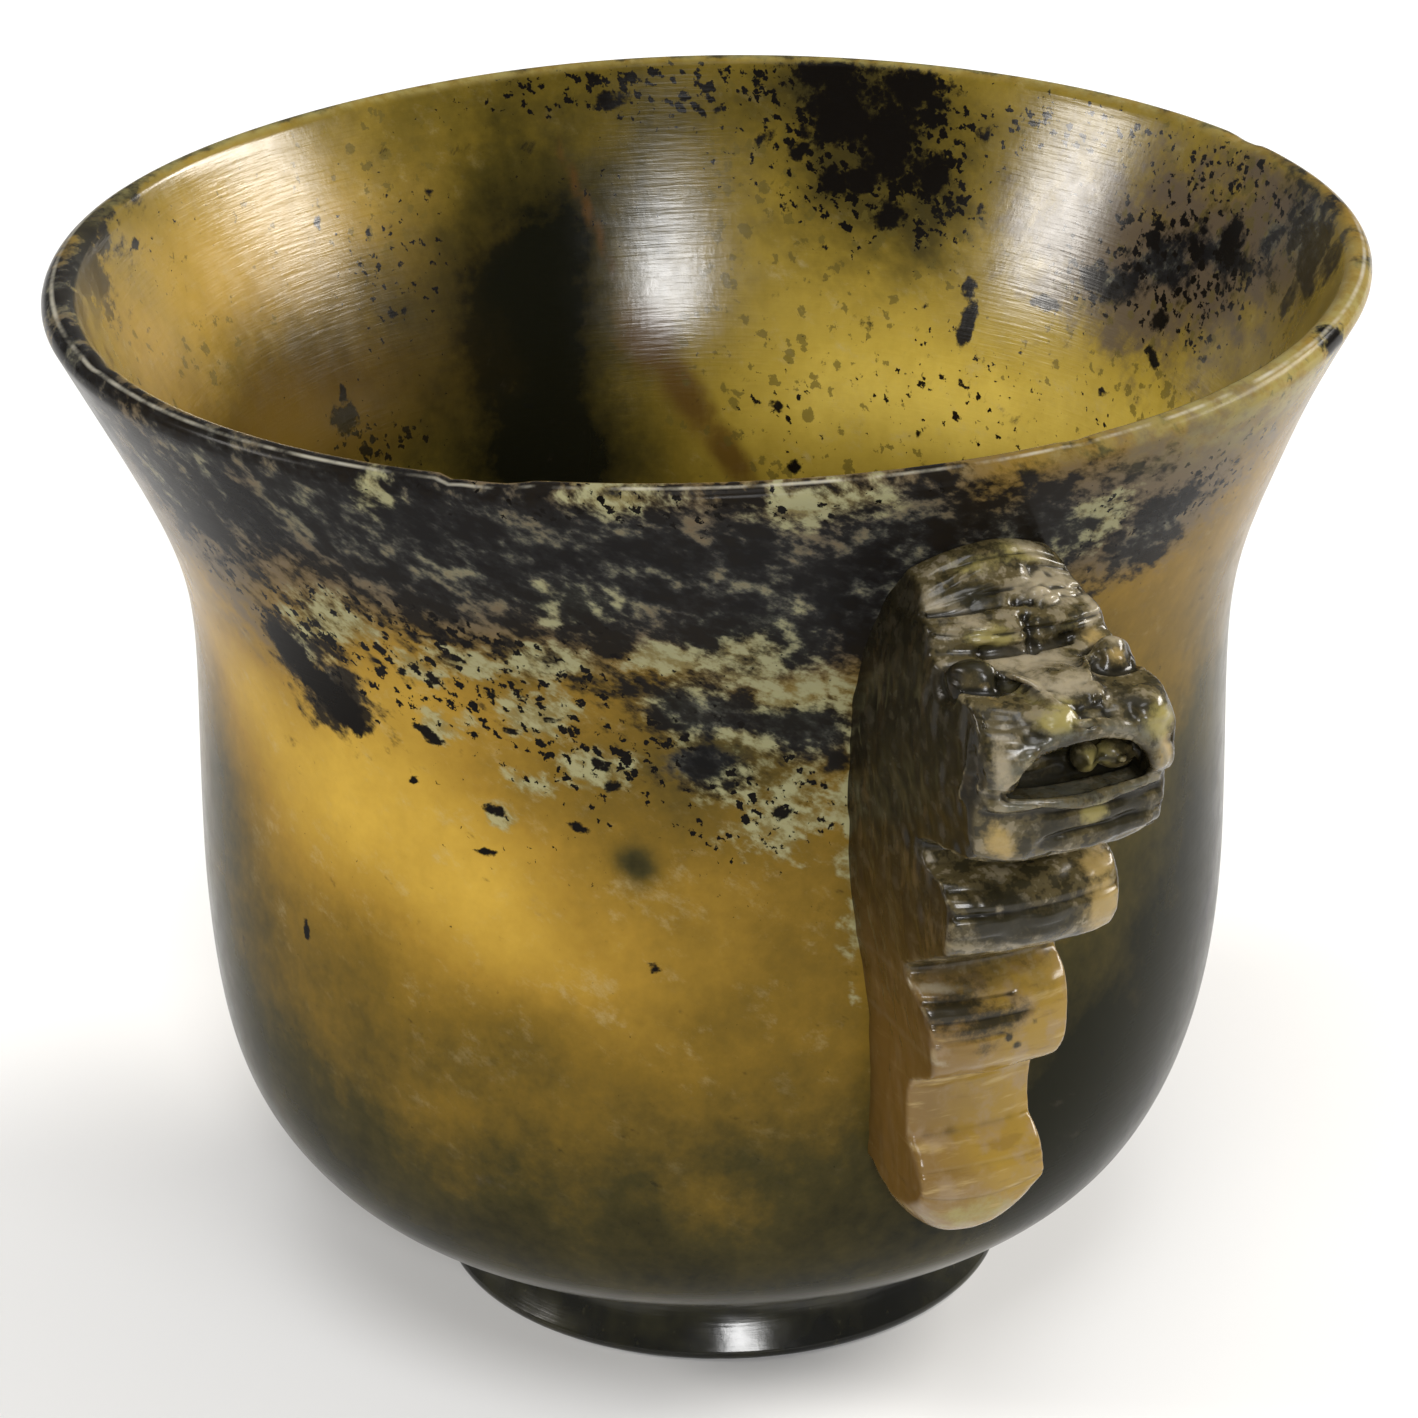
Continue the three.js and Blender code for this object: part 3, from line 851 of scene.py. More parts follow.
class Value:
    """What a node puts out: a number, a colour or a place."""

    def __init__(self, paint, socket):
        self.paint = paint
        self.socket = socket

    def output(self, name):
        """Another output of the same node."""
        return Value(self.paint, self.socket.node.outputs[name])

    def math(self, operation, *others):
        return self.paint.new("Math", dict(enumerate((self, *others))), operation=operation)

    def __add__(self, other):
        return self.math("ADD", other)

    def __sub__(self, other):
        return self.math("SUBTRACT", other)

    def __mul__(self, other):
        return self.math("MULTIPLY", other)

    def torn(self, noise, amount):
        """Moved up and down by noise about its middle."""
        return (noise - 0.5).math("MULTIPLY_ADD", amount, self)

    def ease(self, low, high, out_low=0.0, out_high=1.0):
        span = {"Value": self, "From Min": low, "From Max": high, "To Min": out_low, "To Max": out_high}
        return self.paint.new("MapRange", span, interpolation_type="SMOOTHSTEP")

    def mix(self, first, second):
        """Two colours mixed by this share of the second."""
        return self.paint.new("Mix", {0: self, 6: tint(first), 7: tint(second)}, 2, data_type="RGBA")

    def ramp(self, stops):
        """Colours along this number: (place, colour) stops."""
        ramp = self.paint.new("ValToRGB", {0: self})
        band = ramp.socket.node.color_ramp.elements
        while len(band) < len(stops):
            band.new(1.0)
        for element, (place, colour) in zip(band, stops):
            element.position = place
            element.color = tint(colour)
        return ramp

    def vector(self, operation, others):
        return self.paint.new("VectorMath", {0: self, **others}, operation=operation)

    def noise(self, scale, detail, rough=0.55, output="Fac"):
        inputs = {"Vector": self, "Scale": scale, "Detail": detail, "Roughness": rough}
        return self.paint.new("TexNoise", inputs, output)

    def scaled(self, scale):
        return self.paint.new("Mapping", {"Vector": self, "Scale": scale})

    def streaked(self, tilt, stretch):
        """Place stretched along a grain that rises to the right in the view for a positive tilt."""
        turn = (math.radians(tilt), 0, CAMERA_TURN)
        inputs = {"Vector": self, "Rotation": turn, "Scale": (1, 1, 1 / stretch)}
        return self.paint.new("Mapping", inputs, vector_type="TEXTURE")

    def jolted(self, scale, detail, rough, amount):
        """Place moved about by noise."""
        jolt = self.noise(scale, detail, rough, "Color").vector("SUBTRACT", {1: (0.5, 0.5, 0.5)})
        return self.vector("ADD", {1: jolt.vector("SCALE", {"Scale": amount})})


def tint(value):
    """A colour as four numbers; values from nodes pass through."""
    return (*value, 1.0) if isinstance(value, tuple) and len(value) == 3 else value


INK = (0.005, 0.004, 0.003)
CREAM = (0.30, 0.292, 0.16)
CREAM_SHADE = (0.17, 0.14, 0.055)
MAUVE = (0.105, 0.084, 0.06)
DARK_MAUVE = (0.075, 0.056, 0.044)
HAZE = (0.024, 0.020, 0.007)
DUST = (0.085, 0.066, 0.014)
RUST = (0.07, 0.033, 0.006)
GOLD = (0.40, 0.25, 0.05)
DARK_GOLD = (0.10, 0.057, 0.008)
SCUFF = (0.40, 0.34, 0.19)
RIM_OLIVE = (0.27, 0.235, 0.085)
# Pale crest of the lip: partly wear, partly a painted highlight
RIM_WEAR_AND_HIGHLIGHT = (0.50, 0.47, 0.38)
FOOT_BLACK = (0.008, 0.008, 0.006)
FOOT_GREEN = (0.028, 0.026, 0.012)
FOOT_FLECK = (0.06, 0.055, 0.028)

# Spots of stone, and in the tone lists also painted light and shade: degrees right of the near side
# (outside) or of the far side (inside), height, half width, half height, tilt (none where it is left out)
# and, for tones and grains, weight
# Outside tone: the dark spots at -76 and 80 degrees on the two sides are painted shade
OUT_TONE_AND_PAINTED_SHADE = [
    (-36, 47.5, 15, 5.5, -14, 0.38), (-60, 52, 12, 4.5, -5, 0.24), (-18, 39, 9, 4.0, -25, 0.17),
    (-50, 29, 10, 6, 0, -0.06), (-30, 56, 8, 4, 0, 0.22), (-38, 42, 9, 3.5, -20, 0.20),
    (-3, 53, 12, 5, 0, -0.20), (-6, 37, 4, 3, 0, -0.14), (-30, 27, 9, 3.5, 0, 0.12),
    (-16, 25, 10, 4.5, 0, -0.06), (1, 22.5, 5, 3, 0, 0.09), (46, 57, 6, 7, 10, -0.04),
    (52, 32, 18, 16, 0, -0.34), (140, 48, 22, 9, 12, 0.35), (-130, 44, 24, 9, -10, 0.3),
    (80, 42, 14, 20, 0, -0.25), (-76, 36, 10, 16, 0, -0.30), (-6.5, 47.4, 1.4, 1.2, 0, -0.4),
]
# Inside tone: the dark band from about 10 to 45 degrees is a painted shadow of the far handle, which blocks
# light through the wall; the bright spots at -38 and -70 degrees are painted light shining through the wall
IN_TONE_AND_PAINTED_LIGHT = [
    (-38, 53, 22, 7, 0, 0.52), (-70, 57, 8, 4, 0, 0.26), (0, 73, 16, 4, 0, -0.16),
    (56, 54, 10, 6, 0, -0.12), (18.5, 48, 7.8, 8, 0, -0.48), (18, 62, 7.8, 9, 0, -0.43),
    (34, 60, 9, 13, 0, -0.22), (46, 64, 8, 8, 0, -0.1), (10.5, 60, 1.6, 9, 0, 0.06),
    (54, 68.5, 13, 5.5, 0, 0.34), (64, 57, 12, 6, 0, -0.42), (-12, 50, 8, 5, 0, 0.1),
]
OUT_SLATE = [
    (-82, 73.5, 8, 4.5), (-66, 72.6, 8, 5), (-55, 69, 6, 5), (-45, 72, 8, 7.5), (-33, 70.5, 10, 7.5),
    (-20, 70, 12, 7.5), (-8, 69.5, 9, 8.5), (4, 67, 9, 9), (16, 69, 6, 8), (27, 69, 6, 5.5),
    (42, 66.5, 4.5, 2.8, 30), (8, 56, 5, 2.4, -25), (-45, 58, 3.2, 2.8, -43),
    (-41.5, 55.8, 3.4, 3.0, -43), (-1, 57.5, 4.5, 2.2, -15), (-2, 53.5, 3, 1.5), (110, 72, 20, 5),
    (170, 71, 26, 8), (-120, 72, 24, 6),
]
OUT_BARE = [
    (-7, 75, 2.6, 1.0, 0, 0.4), (8, 74.4, 2.4, 1.0, 0, 0.4), (3.6, 63, 2.2, 2.0, 0, 0.45),
    (-4, 62, 2.0, 1.2, 0, 0.4), (-27.5, 73.4, 1.2, 1.6, 0, 0.3), (-42, 72, 1.4, 2.0, 0, 0.25),
    (-40, 66, 3, 1.2, 20, 0.2), (8, 59, 2.2, 1.6, 0, 0.4),
]
IN_SLATE = [
    (-84, 75, 6, 4), (-59, 66.9, 2.8, 1.6), (-67, 69.8, 2.6, 2.1), (-53, 65, 1.8, 1.2),
    (-76, 72.8, 2.8, 2.2), (90, 74.6, 8, 3.2), (79, 76, 5, 1.4), (102, 74.6, 8, 3.2),
]
IN_GOLD = [(64, 57, 14, 7), (60, 67, 13, 7), (82, 64, 9, 8)]
OUT_MAUVE = [
    (-66, 70, 11, 8), (-56, 66, 8, 6), (-42, 70, 10, 6.5), (-26, 70.5, 12, 7), (-9, 70, 11, 7),
    (8, 69, 9, 8), (42, 70, 9, 5),
]
IN_MAUVE = [(-64, 69, 10, 6.5), (-58, 65, 7, 4), (-49, 67, 6, 5), (-74, 72, 8, 5)]
IN_HAZE = [(-20, 69, 6.5, 6.5), (-25, 66, 4, 4), (-15, 73, 6, 4)]
OUT_CREAM = [
    (-7, 75, 2.6, 1.2), (8, 74.3, 3, 1.4), (-27.5, 73.6, 1.2, 1.6), (3.6, 63, 3.2, 2.8),
    (-4, 62, 2.2, 1.2), (-15.5, 61.3, 2.2, 1.2), (8.5, 57.5, 3.2, 2.8, -20), (-2.5, 58.3, 2.0, 2.0),
    (8, 50, 3, 2.2), (-29.5, 59, 1.6, 1.2), (-18, 56.6, 2.6, 1.4, 15), (-28, 54.4, 1.4, 1.0),
    (-12, 53.2, 1.8, 1.2), (-19, 51.6, 1.4, 0.8), (-39, 61, 3, 1.8, 20), (34, 69, 2.2, 1.6),
    (-12, 66, 2, 1.6), (-24, 60.6, 2.2, 1.0), (2, 52, 2, 1.4), (-22, 49, 1.0, 0.8), (14.4, 47, 0.6, 8),
    (160, 62, 3, 2, 10), (144, 60, 2.4, 1.6, -20), (-152, 62, 2.6, 1.8), (-126, 65, 2, 1.4),
    (178, 60, 2.2, 1.6),
]
# Density of small dark grains, with a weight
OUT_SPECK = [
    (-24, 58.5, 18, 6, 0, 0.88), (-10, 55, 12, 6, 0, 0.84), (-42, 60, 7, 5, -30, 0.85),
    (38, 68, 8, 5, 0, 0.75), (-52, 64, 8, 5, 0, 0.8), (-30, 63, 14, 2.6, 0, 0.95),
    (4, 51, 7, 5, 0, 0.8), (-18, 47, 9, 3.5, 0, 0.42), (-66, 70, 9, 7, 0, 0.8), (-2, 74, 14, 2, 0, 0.8),
    (48, 70, 8, 5, 0, 0.8), (58, 73, 9, 4, 0, 0.62), (150, 61, 16, 6, 0, 0.85),
    (-150, 60, 16, 5, 0, 0.8), (118, 57, 9, 6, 0, 0.7), (-112, 64, 9, 5, 0, 0.8),
]
IN_SPECK = [
    (-18, 70.5, 7.5, 6.5, 0, 1.35), (-25, 66.5, 5, 3.6, 0, 1.1), (-31, 69, 5, 6, 0, 0.6),
    (-63, 68, 12, 7, 0, 1.0), (-50, 65, 6, 4, 0, 0.85), (46, 53, 7, 3.5, 0, 0.9),
    (39, 64, 7, 7, 0, 0.7), (4, 73.6, 14, 2.6, 0, 1.05), (-32, 54, 12, 7, 0, 0.62),
    (-9, 51, 6, 4, 0, 0.68), (72, 72, 12, 4, 0, 0.5), (-6, 68, 8, 6, 0, 0.55), (14, 66, 8, 6, 0, 0.55),
    (-55, 56, 10, 4, 0, 0.55), (-38, 74, 10, 2.5, 0, 0.9), (-66, 75, 14, 2.5, 0, 0.95),
]
OUT_BLACK = [
    (-45.8, 58, 2.2, 1.3, -43), (-43.2, 56, 2.2, 1.5, -43), (-40.5, 54.6, 1.8, 1.5, -43),
    (-38.8, 53.6, 1.0, 1.0), (-27, 58.8, 0.3, 0.7, -25), (-24, 46.2, 0.8, 0.25),
    (-22.4, 49.4, 0.7, 0.4), (-13.5, 49, 0.6, 0.3, -20), (-6, 39.5, 0.5, 0.35), (-48.5, 36, 0.4, 0.9),
    (-32, 50.2, 0.4, 0.25), (7, 50.2, 0.6, 0.4), (-29.5, 54.2, 1.0, 0.3, -20), (-28.6, 53.6, 0.7, 0.35),
    (-11, 53.6, 0.8, 0.35, -35), (-10, 52.2, 0.35, 0.5), (-27, 62.2, 0.5, 0.35),
    (-22.5, 62.2, 0.5, 0.3), (-20, 55.6, 0.7, 0.25), (-16, 56.8, 0.5, 0.25), (-31, 58.6, 0.4, 0.4),
    (64, 75.6, 1.5, 0.9), (66, 74.2, 0.8, 0.9, 20), (135, 51, 0.7, 0.4), (162, 46, 0.6, 0.4, 20),
    (-140, 50, 0.8, 0.4), (-160, 41, 0.4, 0.8), (72, 31, 2.4, 1.4, 20), (60, 20, 0.6, 1.8, -40),
    (58, 18.6, 1.2, 0.4), (62, 19.4, 1.0, 0.5, 30),
]
IN_BLACK = [
    (-14.5, 72, 2.2, 2.2), (-20, 70.5, 2.0, 2.4), (-13, 74.8, 2.4, 1.4), (-22, 74.4, 2.2, 1.4),
    (-21, 65.6, 1.2, 0.9), (-14.5, 67.4, 1.0, 1.0), (-10.6, 69.4, 0.6, 0.8), (-25.5, 68.5, 1.2, 1.6),
    (-17.5, 67.8, 1.1, 1.0), (-33.4, 59.2, 0.7, 1.7, 10), (-32.6, 61.4, 0.5, 0.7),
    (-43.5, 61.9, 1.3, 0.5), (-62.6, 61.2, 1.0, 0.4, 25), (51, 55.6, 1.3, 1.1), (50.4, 57.2, 0.4, 0.7),
    (-27, 59.9, 0.3, 0.3), (-56, 57.4, 0.5, 0.3), (-11, 46.9, 0.5, 0.5), (-28.5, 50.6, 0.4, 0.3),
    (9.5, 73, 1.2, 0.6), (-1.4, 72.2, 0.4, 0.4), (37.5, 67, 0.4, 0.3), (38, 61.2, 0.4, 0.25),
    (46, 68.4, 0.4, 0.4), (74, 72.3, 0.7, 0.25), (-20, 58.1, 0.4, 0.5), (-6.6, 70, 0.5, 0.7),
    (-72, 62.8, 0.7, 0.3), (-49.5, 64.5, 1.1, 0.7, 20), (-61.5, 63.6, 0.9, 0.7), (-68, 70.5, 1.2, 1.6),
    (-9, 51.3, 0.5, 0.5), (31, 68.6, 0.3, 0.5), (-32.6, 67, 0.5, 0.4), (-30.6, 72, 0.5, 0.6),
    (-35, 49.3, 0.3, 0.25),
]
IN_RUST = [
    (7, 56.5, 3.0, 1.9, 58), (3, 52.6, 4.4, 1.4, 58), (-2.6, 47.6, 3.6, 1.2, 56),
    (13.5, 66, 5, 0.35, 72),
]
IN_DULL = [(0, 77, 18, 8), (-18, 71, 8, 8), (23, 58, 5, 18), (-64, 68, 7, 5)]
OUT_SCUFF = [
    (6.5, 27.6, 2.0, 1.2, -20), (-14, 37.5, 2.6, 1.2, -30), (-5, 45, 3, 1.4), (-28, 31, 3, 1.2),
]
# Where the lip's crest shows its pale line, partly wear and partly a painted highlight
RIM_PALE = [
    (0, 75, 9, 4), (-36, 75, 4, 4), (-66, 75, 11, 4), (50, 75, 20, 4), (150, 75, 20, 4),
    (-140, 75, 18, 4),
]
RIM_OLIVES = [(60, 75, 14, 4), (150, 75, 20, 4), (-140, 75, 18, 4)]
# Outside tone from TONE_LOW below to TONE_TOP above, over the heights TONE_RISE: darker towards the bottom,
# partly the stone and partly painted shade under the belly
TONE_TOP = 0.42
TONE_LOW = 0.09
TONE_INSIDE = 0.42
TONE_RISE = (13, 43)
HEEL_RANGE = (7.5, 13)
# Where each sort of stone lies: spots outside, spots inside, how much of the bend their edges take
BOWL_STAINS = {
    "slate": (OUT_SLATE, IN_SLATE, 0.6),
    "mauve": (OUT_MAUVE, IN_MAUVE, 0.6),
    "cream": (OUT_CREAM, [], 0.3),
    "black": (OUT_BLACK, IN_BLACK, 0.15),
    "rust": ([], IN_RUST, 0.15),
    "haze": ([], IN_HAZE, 0.6),
    "gold": ([], IN_GOLD, 0.6),
    "scuff": (OUT_SCUFF, [], 0.6),
    "dull": ([], IN_DULL, 0.6),
}
# Bend of the stains' edges: cell of the noise, seeds, reach
BENDS = [(11, (3, 4), 2.2), (4, (5, 6), 0.9)]
DUST_CELL = 9
DUST_SEED = 7


def bend_of(vertices):
    """Offsets that bend the edges of the stains."""
    bend = np.zeros((len(vertices), 2))
    for cell, seeds, reach in BENDS:
        bend += reach * np.column_stack([lattice_noise(vertices, cell, seed) for seed in seeds])
    return bend


def bowl_stains(vertices, inside):
    """Where each sort of stone, and the painted light and shade in the tone, lie on the bowl, as named
    fields.
    """
    c, s = math.cos(CAMERA_TURN), math.sin(CAMERA_TURN)
    x, y, z = vertices.T
    ahead, right = c * x + s * y, c * y - s * x
    near = np.column_stack([np.arctan2(right, ahead) * ARC, z])
    far = np.column_stack([np.arctan2(-right, -ahead) * ARC, z])
    bend = bend_of(vertices)
    tone_out = TONE_LOW + (TONE_TOP - TONE_LOW) * smooth(z, *TONE_RISE) + glow(near + bend, OUT_TONE_AND_PAINTED_SHADE)
    tone_in = TONE_INSIDE + glow(far + 0.5 * bend, IN_TONE_AND_PAINTED_LIGHT)
    grains = hills(near + 0.5 * bend, OUT_SPECK), hills(far + 0.5 * bend, IN_SPECK)
    fields = {
        "tone": blend(inside, tone_out, tone_in),
        "pale": stain(near, RIM_PALE),
        "olive": stain(near, RIM_OLIVES),
        "speck": blend(inside, *grains),
        "heel": (1 - inside) * (1 - smooth(z, *HEEL_RANGE)),
        "dust": inside * (0.68 + 0.3 * lattice_noise(vertices, DUST_CELL, DUST_SEED)),
    }
    for name, (outer, inner, share) in BOWL_STAINS.items():
        fields[name] = blend(inside, stain(near + share * bend, outer), stain(far + share * bend, inner))
    fields["slate"] -= (1 - inside) * glow(near, OUT_BARE)
    return fields


TONES = [(0.0, (0.010, 0.010, 0.005)), (0.15, (0.042, 0.034, 0.010)), (0.35, (0.15, 0.092, 0.013)),
         (0.55, (0.27, 0.16, 0.022)), (0.75, (0.38, 0.236, 0.034)), (0.95, (0.52, 0.335, 0.052))]
TONES_IN = [(0.0, (0.006, 0.006, 0.003)), (0.15, (0.042, 0.032, 0.006)), (0.35, (0.14, 0.098, 0.012)),
            (0.55, (0.27, 0.19, 0.025)), (0.75, (0.41, 0.295, 0.044)), (0.95, (0.58, 0.43, 0.08))]


def covered(paint, name, rag, soft, tear):
    """Share of a stain after its edge has been torn by noise."""
    return paint.field(name).torn(rag, tear).ease(0.5 - soft, 0.5 + soft)


def layered(colour, name, rag, stone):
    """A colour with one sort of stain laid over it."""
    soft, tear, most = STAIN_EDGES[name]
    return (covered(colour.paint, name, rag, soft, tear) * most).mix(colour, stone)


def specks(spot, density, scale, tilt, stretch, least):
    """Grains of many sizes that crowd together where density is high."""
    torn = spot.jolted(1.6, 3.0, 0.65, 1.2).streaked(tilt, stretch)
    away = spot.paint.new("TexVoronoi", {"Vector": torn, "Scale": scale})
    chance = spot.paint.new("SeparateColor", {0: away.output("Color")})
    size = ((chance - least) * (density * density)).math("MINIMUM", 0.5)
    return (size.torn(spot.noise(2.2, 3.0, 0.6), 0.5) - away).ease(-0.03, 0.07)


# Near-black stone of the upper band, from its darkest to its pale chips
BAND = [(0.38, (0.004, 0.0045, 0.0055)), (0.52, (0.011, 0.0115, 0.012)), (0.60, (0.030, 0.030, 0.027)),
        (0.68, (0.08, 0.078, 0.058)), (0.78, (0.20, 0.19, 0.12))]
# How each stain lies on the stone: softness of its edge, how far noise tears it, most cover
STAIN_EDGES = {
    "gold": (0.45, 0.6, 0.8),
    "rust": (0.3, 0.5, 0.85),
    "haze": (0.35, 0.8, 0.9),
    "mauve": (0.3, 0.9, 0.85),
    "slate": (0.2, -1.3, 0.96),
}


def ground_stone(paint, spot, tone, cloud):
    """Amber and olive stone by its tone, which also holds painted light and shade, with gold inside and
    pale scuffs.
    """
    colour = paint.field("inside").mix(tone.ramp(TONES), tone.ramp(TONES_IN))
    colour = layered(colour, "gold", cloud, tone.ease(0.1, 0.8).mix(DARK_GOLD, GOLD))
    scrape = spot.streaked(-35, 1.6).noise(0.4, 6.0, 0.72)
    scrape = paint.field("scuff").math("MULTIPLY_ADD", 0.13, scrape)
    return (scrape.ease(0.54, 0.80, 0.0, 0.4) * tone.ease(0.08, 0.5)).mix(colour, SCUFF)


def black_grains(paint, spot, fine):
    """Share of black: small and large grains, and single spots."""
    density = paint.field("speck")
    small = specks(spot, density, 1.1, -50, 1.6, 0.05)
    large = specks(spot, density, 0.5, -40, 1.5, 0.4)
    return small.math("MAXIMUM", large).math("MAXIMUM", covered(paint, "black", fine, 0.14, 1.5))


def bowl_colour(paint, spot):
    """The bowl's stone with its stains laid over it one by one, black grains last."""
    inside = paint.field("inside")
    cloud = spot.noise(0.11, 5.0, 0.6)
    fine = spot.noise(0.9, 5.0, 0.66)
    outer_chip = spot.streaked(-34, 1.8).noise(0.66, 5.0, 0.62)
    inner_chip = spot.streaked(58, 2.6).noise(0.6, 5.0, 0.68)
    chip = outer_chip + (inner_chip - outer_chip) * inside
    patch = spot.streaked(-30, 1.7).noise(0.24, 4.0, 0.6)
    mottle = chip.torn(patch, 1.2)
    tone = paint.field("tone").torn(cloud, 0.4).torn(fine, 0.16)
    colour = ground_stone(paint, spot, tone, cloud)
    colour = layered(colour, "rust", fine, RUST)
    colour = layered(colour, "haze", patch, HAZE)
    colour = layered(colour, "mauve", mottle, inside.mix(MAUVE, DARK_MAUVE))
    cream = covered(paint, "cream", mottle, 0.25, 1.6) * paint.field("cream").ease(0.02, 0.2)
    colour = (cream * 0.8).mix(colour, chip.ease(0.4, 0.6).mix(CREAM_SHADE, CREAM))
    dust = specks(spot, paint.field("dust"), 0.8, -60, 1.3, 0.15) * tone.ease(0.2, 0.4, 0.0, 0.65)
    colour = layered(dust.mix(colour, DUST), "slate", mottle, mottle.ramp(BAND))
    return black_grains(paint, spot, fine).mix(colour, INK)


def rim_colour(paint, spot, colour):
    """The lip: mottled olive on the right, black spots and a pale crest that is partly wear and partly a
    painted highlight.
    """
    crest, olive = paint.field("crest"), paint.field("olive")
    lip = crest.ease(0.0, 0.6) * olive.ease(0.1, 0.7)
    below = olive.ease(0.3, 0.9) * paint.field("inside").ease(0.5, 0.0)
    patches = spot.streaked(-36, 1.7).noise(0.45, 5.0, 0.66).ease(0.36, 0.62, 0.12, 0.7)
    colour = (lip.math("MAXIMUM", below) * patches).mix(colour, RIM_OLIVE)
    colour = covered(paint, "black", spot.noise(0.9, 5.0, 0.66), 0.14, 1.0).mix(colour, INK)
    broken = spot.noise(0.22, 5.0, 0.65).ease(0.34, 0.60)
    # Pale crest line: partly wear, partly a painted highlight along the lip's rounded edge
    wear_and_highlight = crest.ease(0.86, 0.99) * broken * paint.field("pale").ease(-0.3, 0.6)
    return (wear_and_highlight * 0.65).mix(colour, RIM_WEAR_AND_HIGHLIGHT)


# Wax in the stone: share, spread of each colour, depth in millimetres; grinding marks: depth and stretch
WAX_SHARE = 0.12
WAX_SPREAD = (1.0, 0.7, 0.25)
WAX_DEPTH = 2.0
MARK_DEPTH = 0.05
LINE_SCALE = (0.35, 0.35, 5.0)
CROSS_SCALE = (3.2, 3.2, 0.5)


def finish_jade(paint, colour, rough, shine, marks):
    """Shared polish: waxy depth, uneven gloss and fine grinding marks."""
    spot = paint.place()
    lines = spot.scaled(LINE_SCALE).noise(0.8, 2.0)
    height = spot.scaled(CROSS_SCALE).noise(0.8, 2.0).math("MULTIPLY_ADD", 0.4, lines)
    height = spot.noise(1.1, 3.0).math("MULTIPLY_ADD", 0.12, height)
    bump = {"Height": height, "Strength": marks, "Distance": MARK_DEPTH * MM}
    return paint.surface({
        "Base Color": colour,
        "Roughness": spot.noise(0.6, 4.0, 0.6).ease(0.3, 0.7, -0.02, 0.04) + rough,
        "Subsurface Weight": WAX_SHARE,
        "Subsurface Radius": WAX_SPREAD,
        "Subsurface Scale": WAX_DEPTH * MM,
        "Specular IOR Level": shine,
        "Normal": paint.new("Bump", bump),
    })


def bowl_material():
    """Amber and olive stone under a near-black band; a polished inside, duller in patches."""
    paint = Paint("jade_body")
    spot = paint.place()
    colour = rim_colour(paint, spot, bowl_colour(paint, spot))
    inside = paint.field("inside")
    polish = paint.field("dull").ease(0.1, 0.7, 0.42, 0.05)
    outer = paint.field("heel").ease(0.0, 1.0, 0.04, 0.5)
    shine = outer + (polish - outer) * inside
    return finish_jade(paint, colour, 0.2, shine, inside.ease(0.0, 1.0, 0.14, 0.3))


def foot_material():
    """Near-black green with a few paler flecks."""
    paint = Paint("jade_foot")
    spot = paint.place()
    colour = spot.noise(0.12, 4.0, 0.6).ease(0.4, 0.68).mix(FOOT_BLACK, FOOT_GREEN)
    colour = spot.noise(0.9, 3.0, 0.6).ease(0.64, 0.74, 0.0, 0.5).mix(colour, FOOT_FLECK)
    return finish_jade(paint, colour, 0.18, 0.4, 0.2)


# Stone of the handle: amber tail below, grey-brown beast head above
TAIL_AMBER = (0.26, 0.166, 0.030)
TAIL_BROWN = (0.18, 0.11, 0.034)
TAIL_ROSE = (0.25, 0.18, 0.11)
TAIL_PALE = (0.40, 0.30, 0.13)
TAIL_DARK = (0.16, 0.095, 0.022)
HEAD_BROWN = (0.078, 0.061, 0.026)
HEAD_DARK = (0.019, 0.0165, 0.008)
HEAD_PALE = (0.30, 0.255, 0.17)
HEAD_TAN = (0.33, 0.235, 0.085)
HEAD_GREEN = (0.26, 0.22, 0.075)
HEAD_GREY = (0.10, 0.098, 0.073)
SIDE_LOW = (0.085, 0.045, 0.009)
SIDE_TOP = (0.007, 0.006, 0.0035)
SIDE_WORN = (0.11, 0.07, 0.028)
SIDE_FLECK = (0.17, 0.12, 0.06)
# Hollows and crevices: painted shade, with some dirt
HOLLOW_SHADE_AND_DIRT = (0.008, 0.007, 0.004)
EDGE_PALE = (0.40, 0.33, 0.19)
# Stones of the face, with painted light and shade among them, in the order they are laid: field, colour,
# most cover
FACE_STONES = [
    ("dark", HEAD_DARK, 0.95),
    ("tan", HEAD_TAN, 0.85),
    ("green", HEAD_GREEN, 0.9),
    ("pale", HEAD_PALE, 0.85),
]


def tail_stone(local, across, blot):
    """Banded amber of the tail, browner to one side, with rosy patches."""
    colour = across.ease(-4.0, 2.0).mix(TAIL_BROWN, TAIL_AMBER)
    band = local.scaled((0.25, 0.25, 1.6)).noise(0.8, 4.0, 0.6)
    colour = band.ease(0.55, 0.72, 0.0, 0.6).mix(colour, TAIL_PALE)
    colour = band.ease(0.45, 0.33, 0.0, 0.5).mix(colour, TAIL_DARK)
    return blot.ease(0.46, 0.68, 0.0, 0.55).mix(colour, TAIL_ROSE)


def head_stone(paint, local, tail, rise, rag):
    """The head above the tail: flakes, the stones and the painted light and shade of the face, and grey
    lips.
    """
    head = rise.ease(39, 44)
    flake = local.noise(0.8, 3.0, 0.62)
    colour = head.mix(tail, HEAD_BROWN)
    colour = (flake.ease(0.53, 0.62, 0.0, 0.45) * head).mix(colour, HEAD_PALE)
    colour = (flake.ease(0.48, 0.40, 0.0, 0.8) * head).mix(colour, HEAD_DARK)
    for field, stone, most in FACE_STONES:
        colour = paint.field(field).torn(rag, 0.9).ease(0.3, 0.85, 0.0, most).mix(colour, stone)
    return (paint.field("lip") * rag.ease(0.38, 0.6, 0.1, 0.75)).mix(colour, HEAD_GREY)


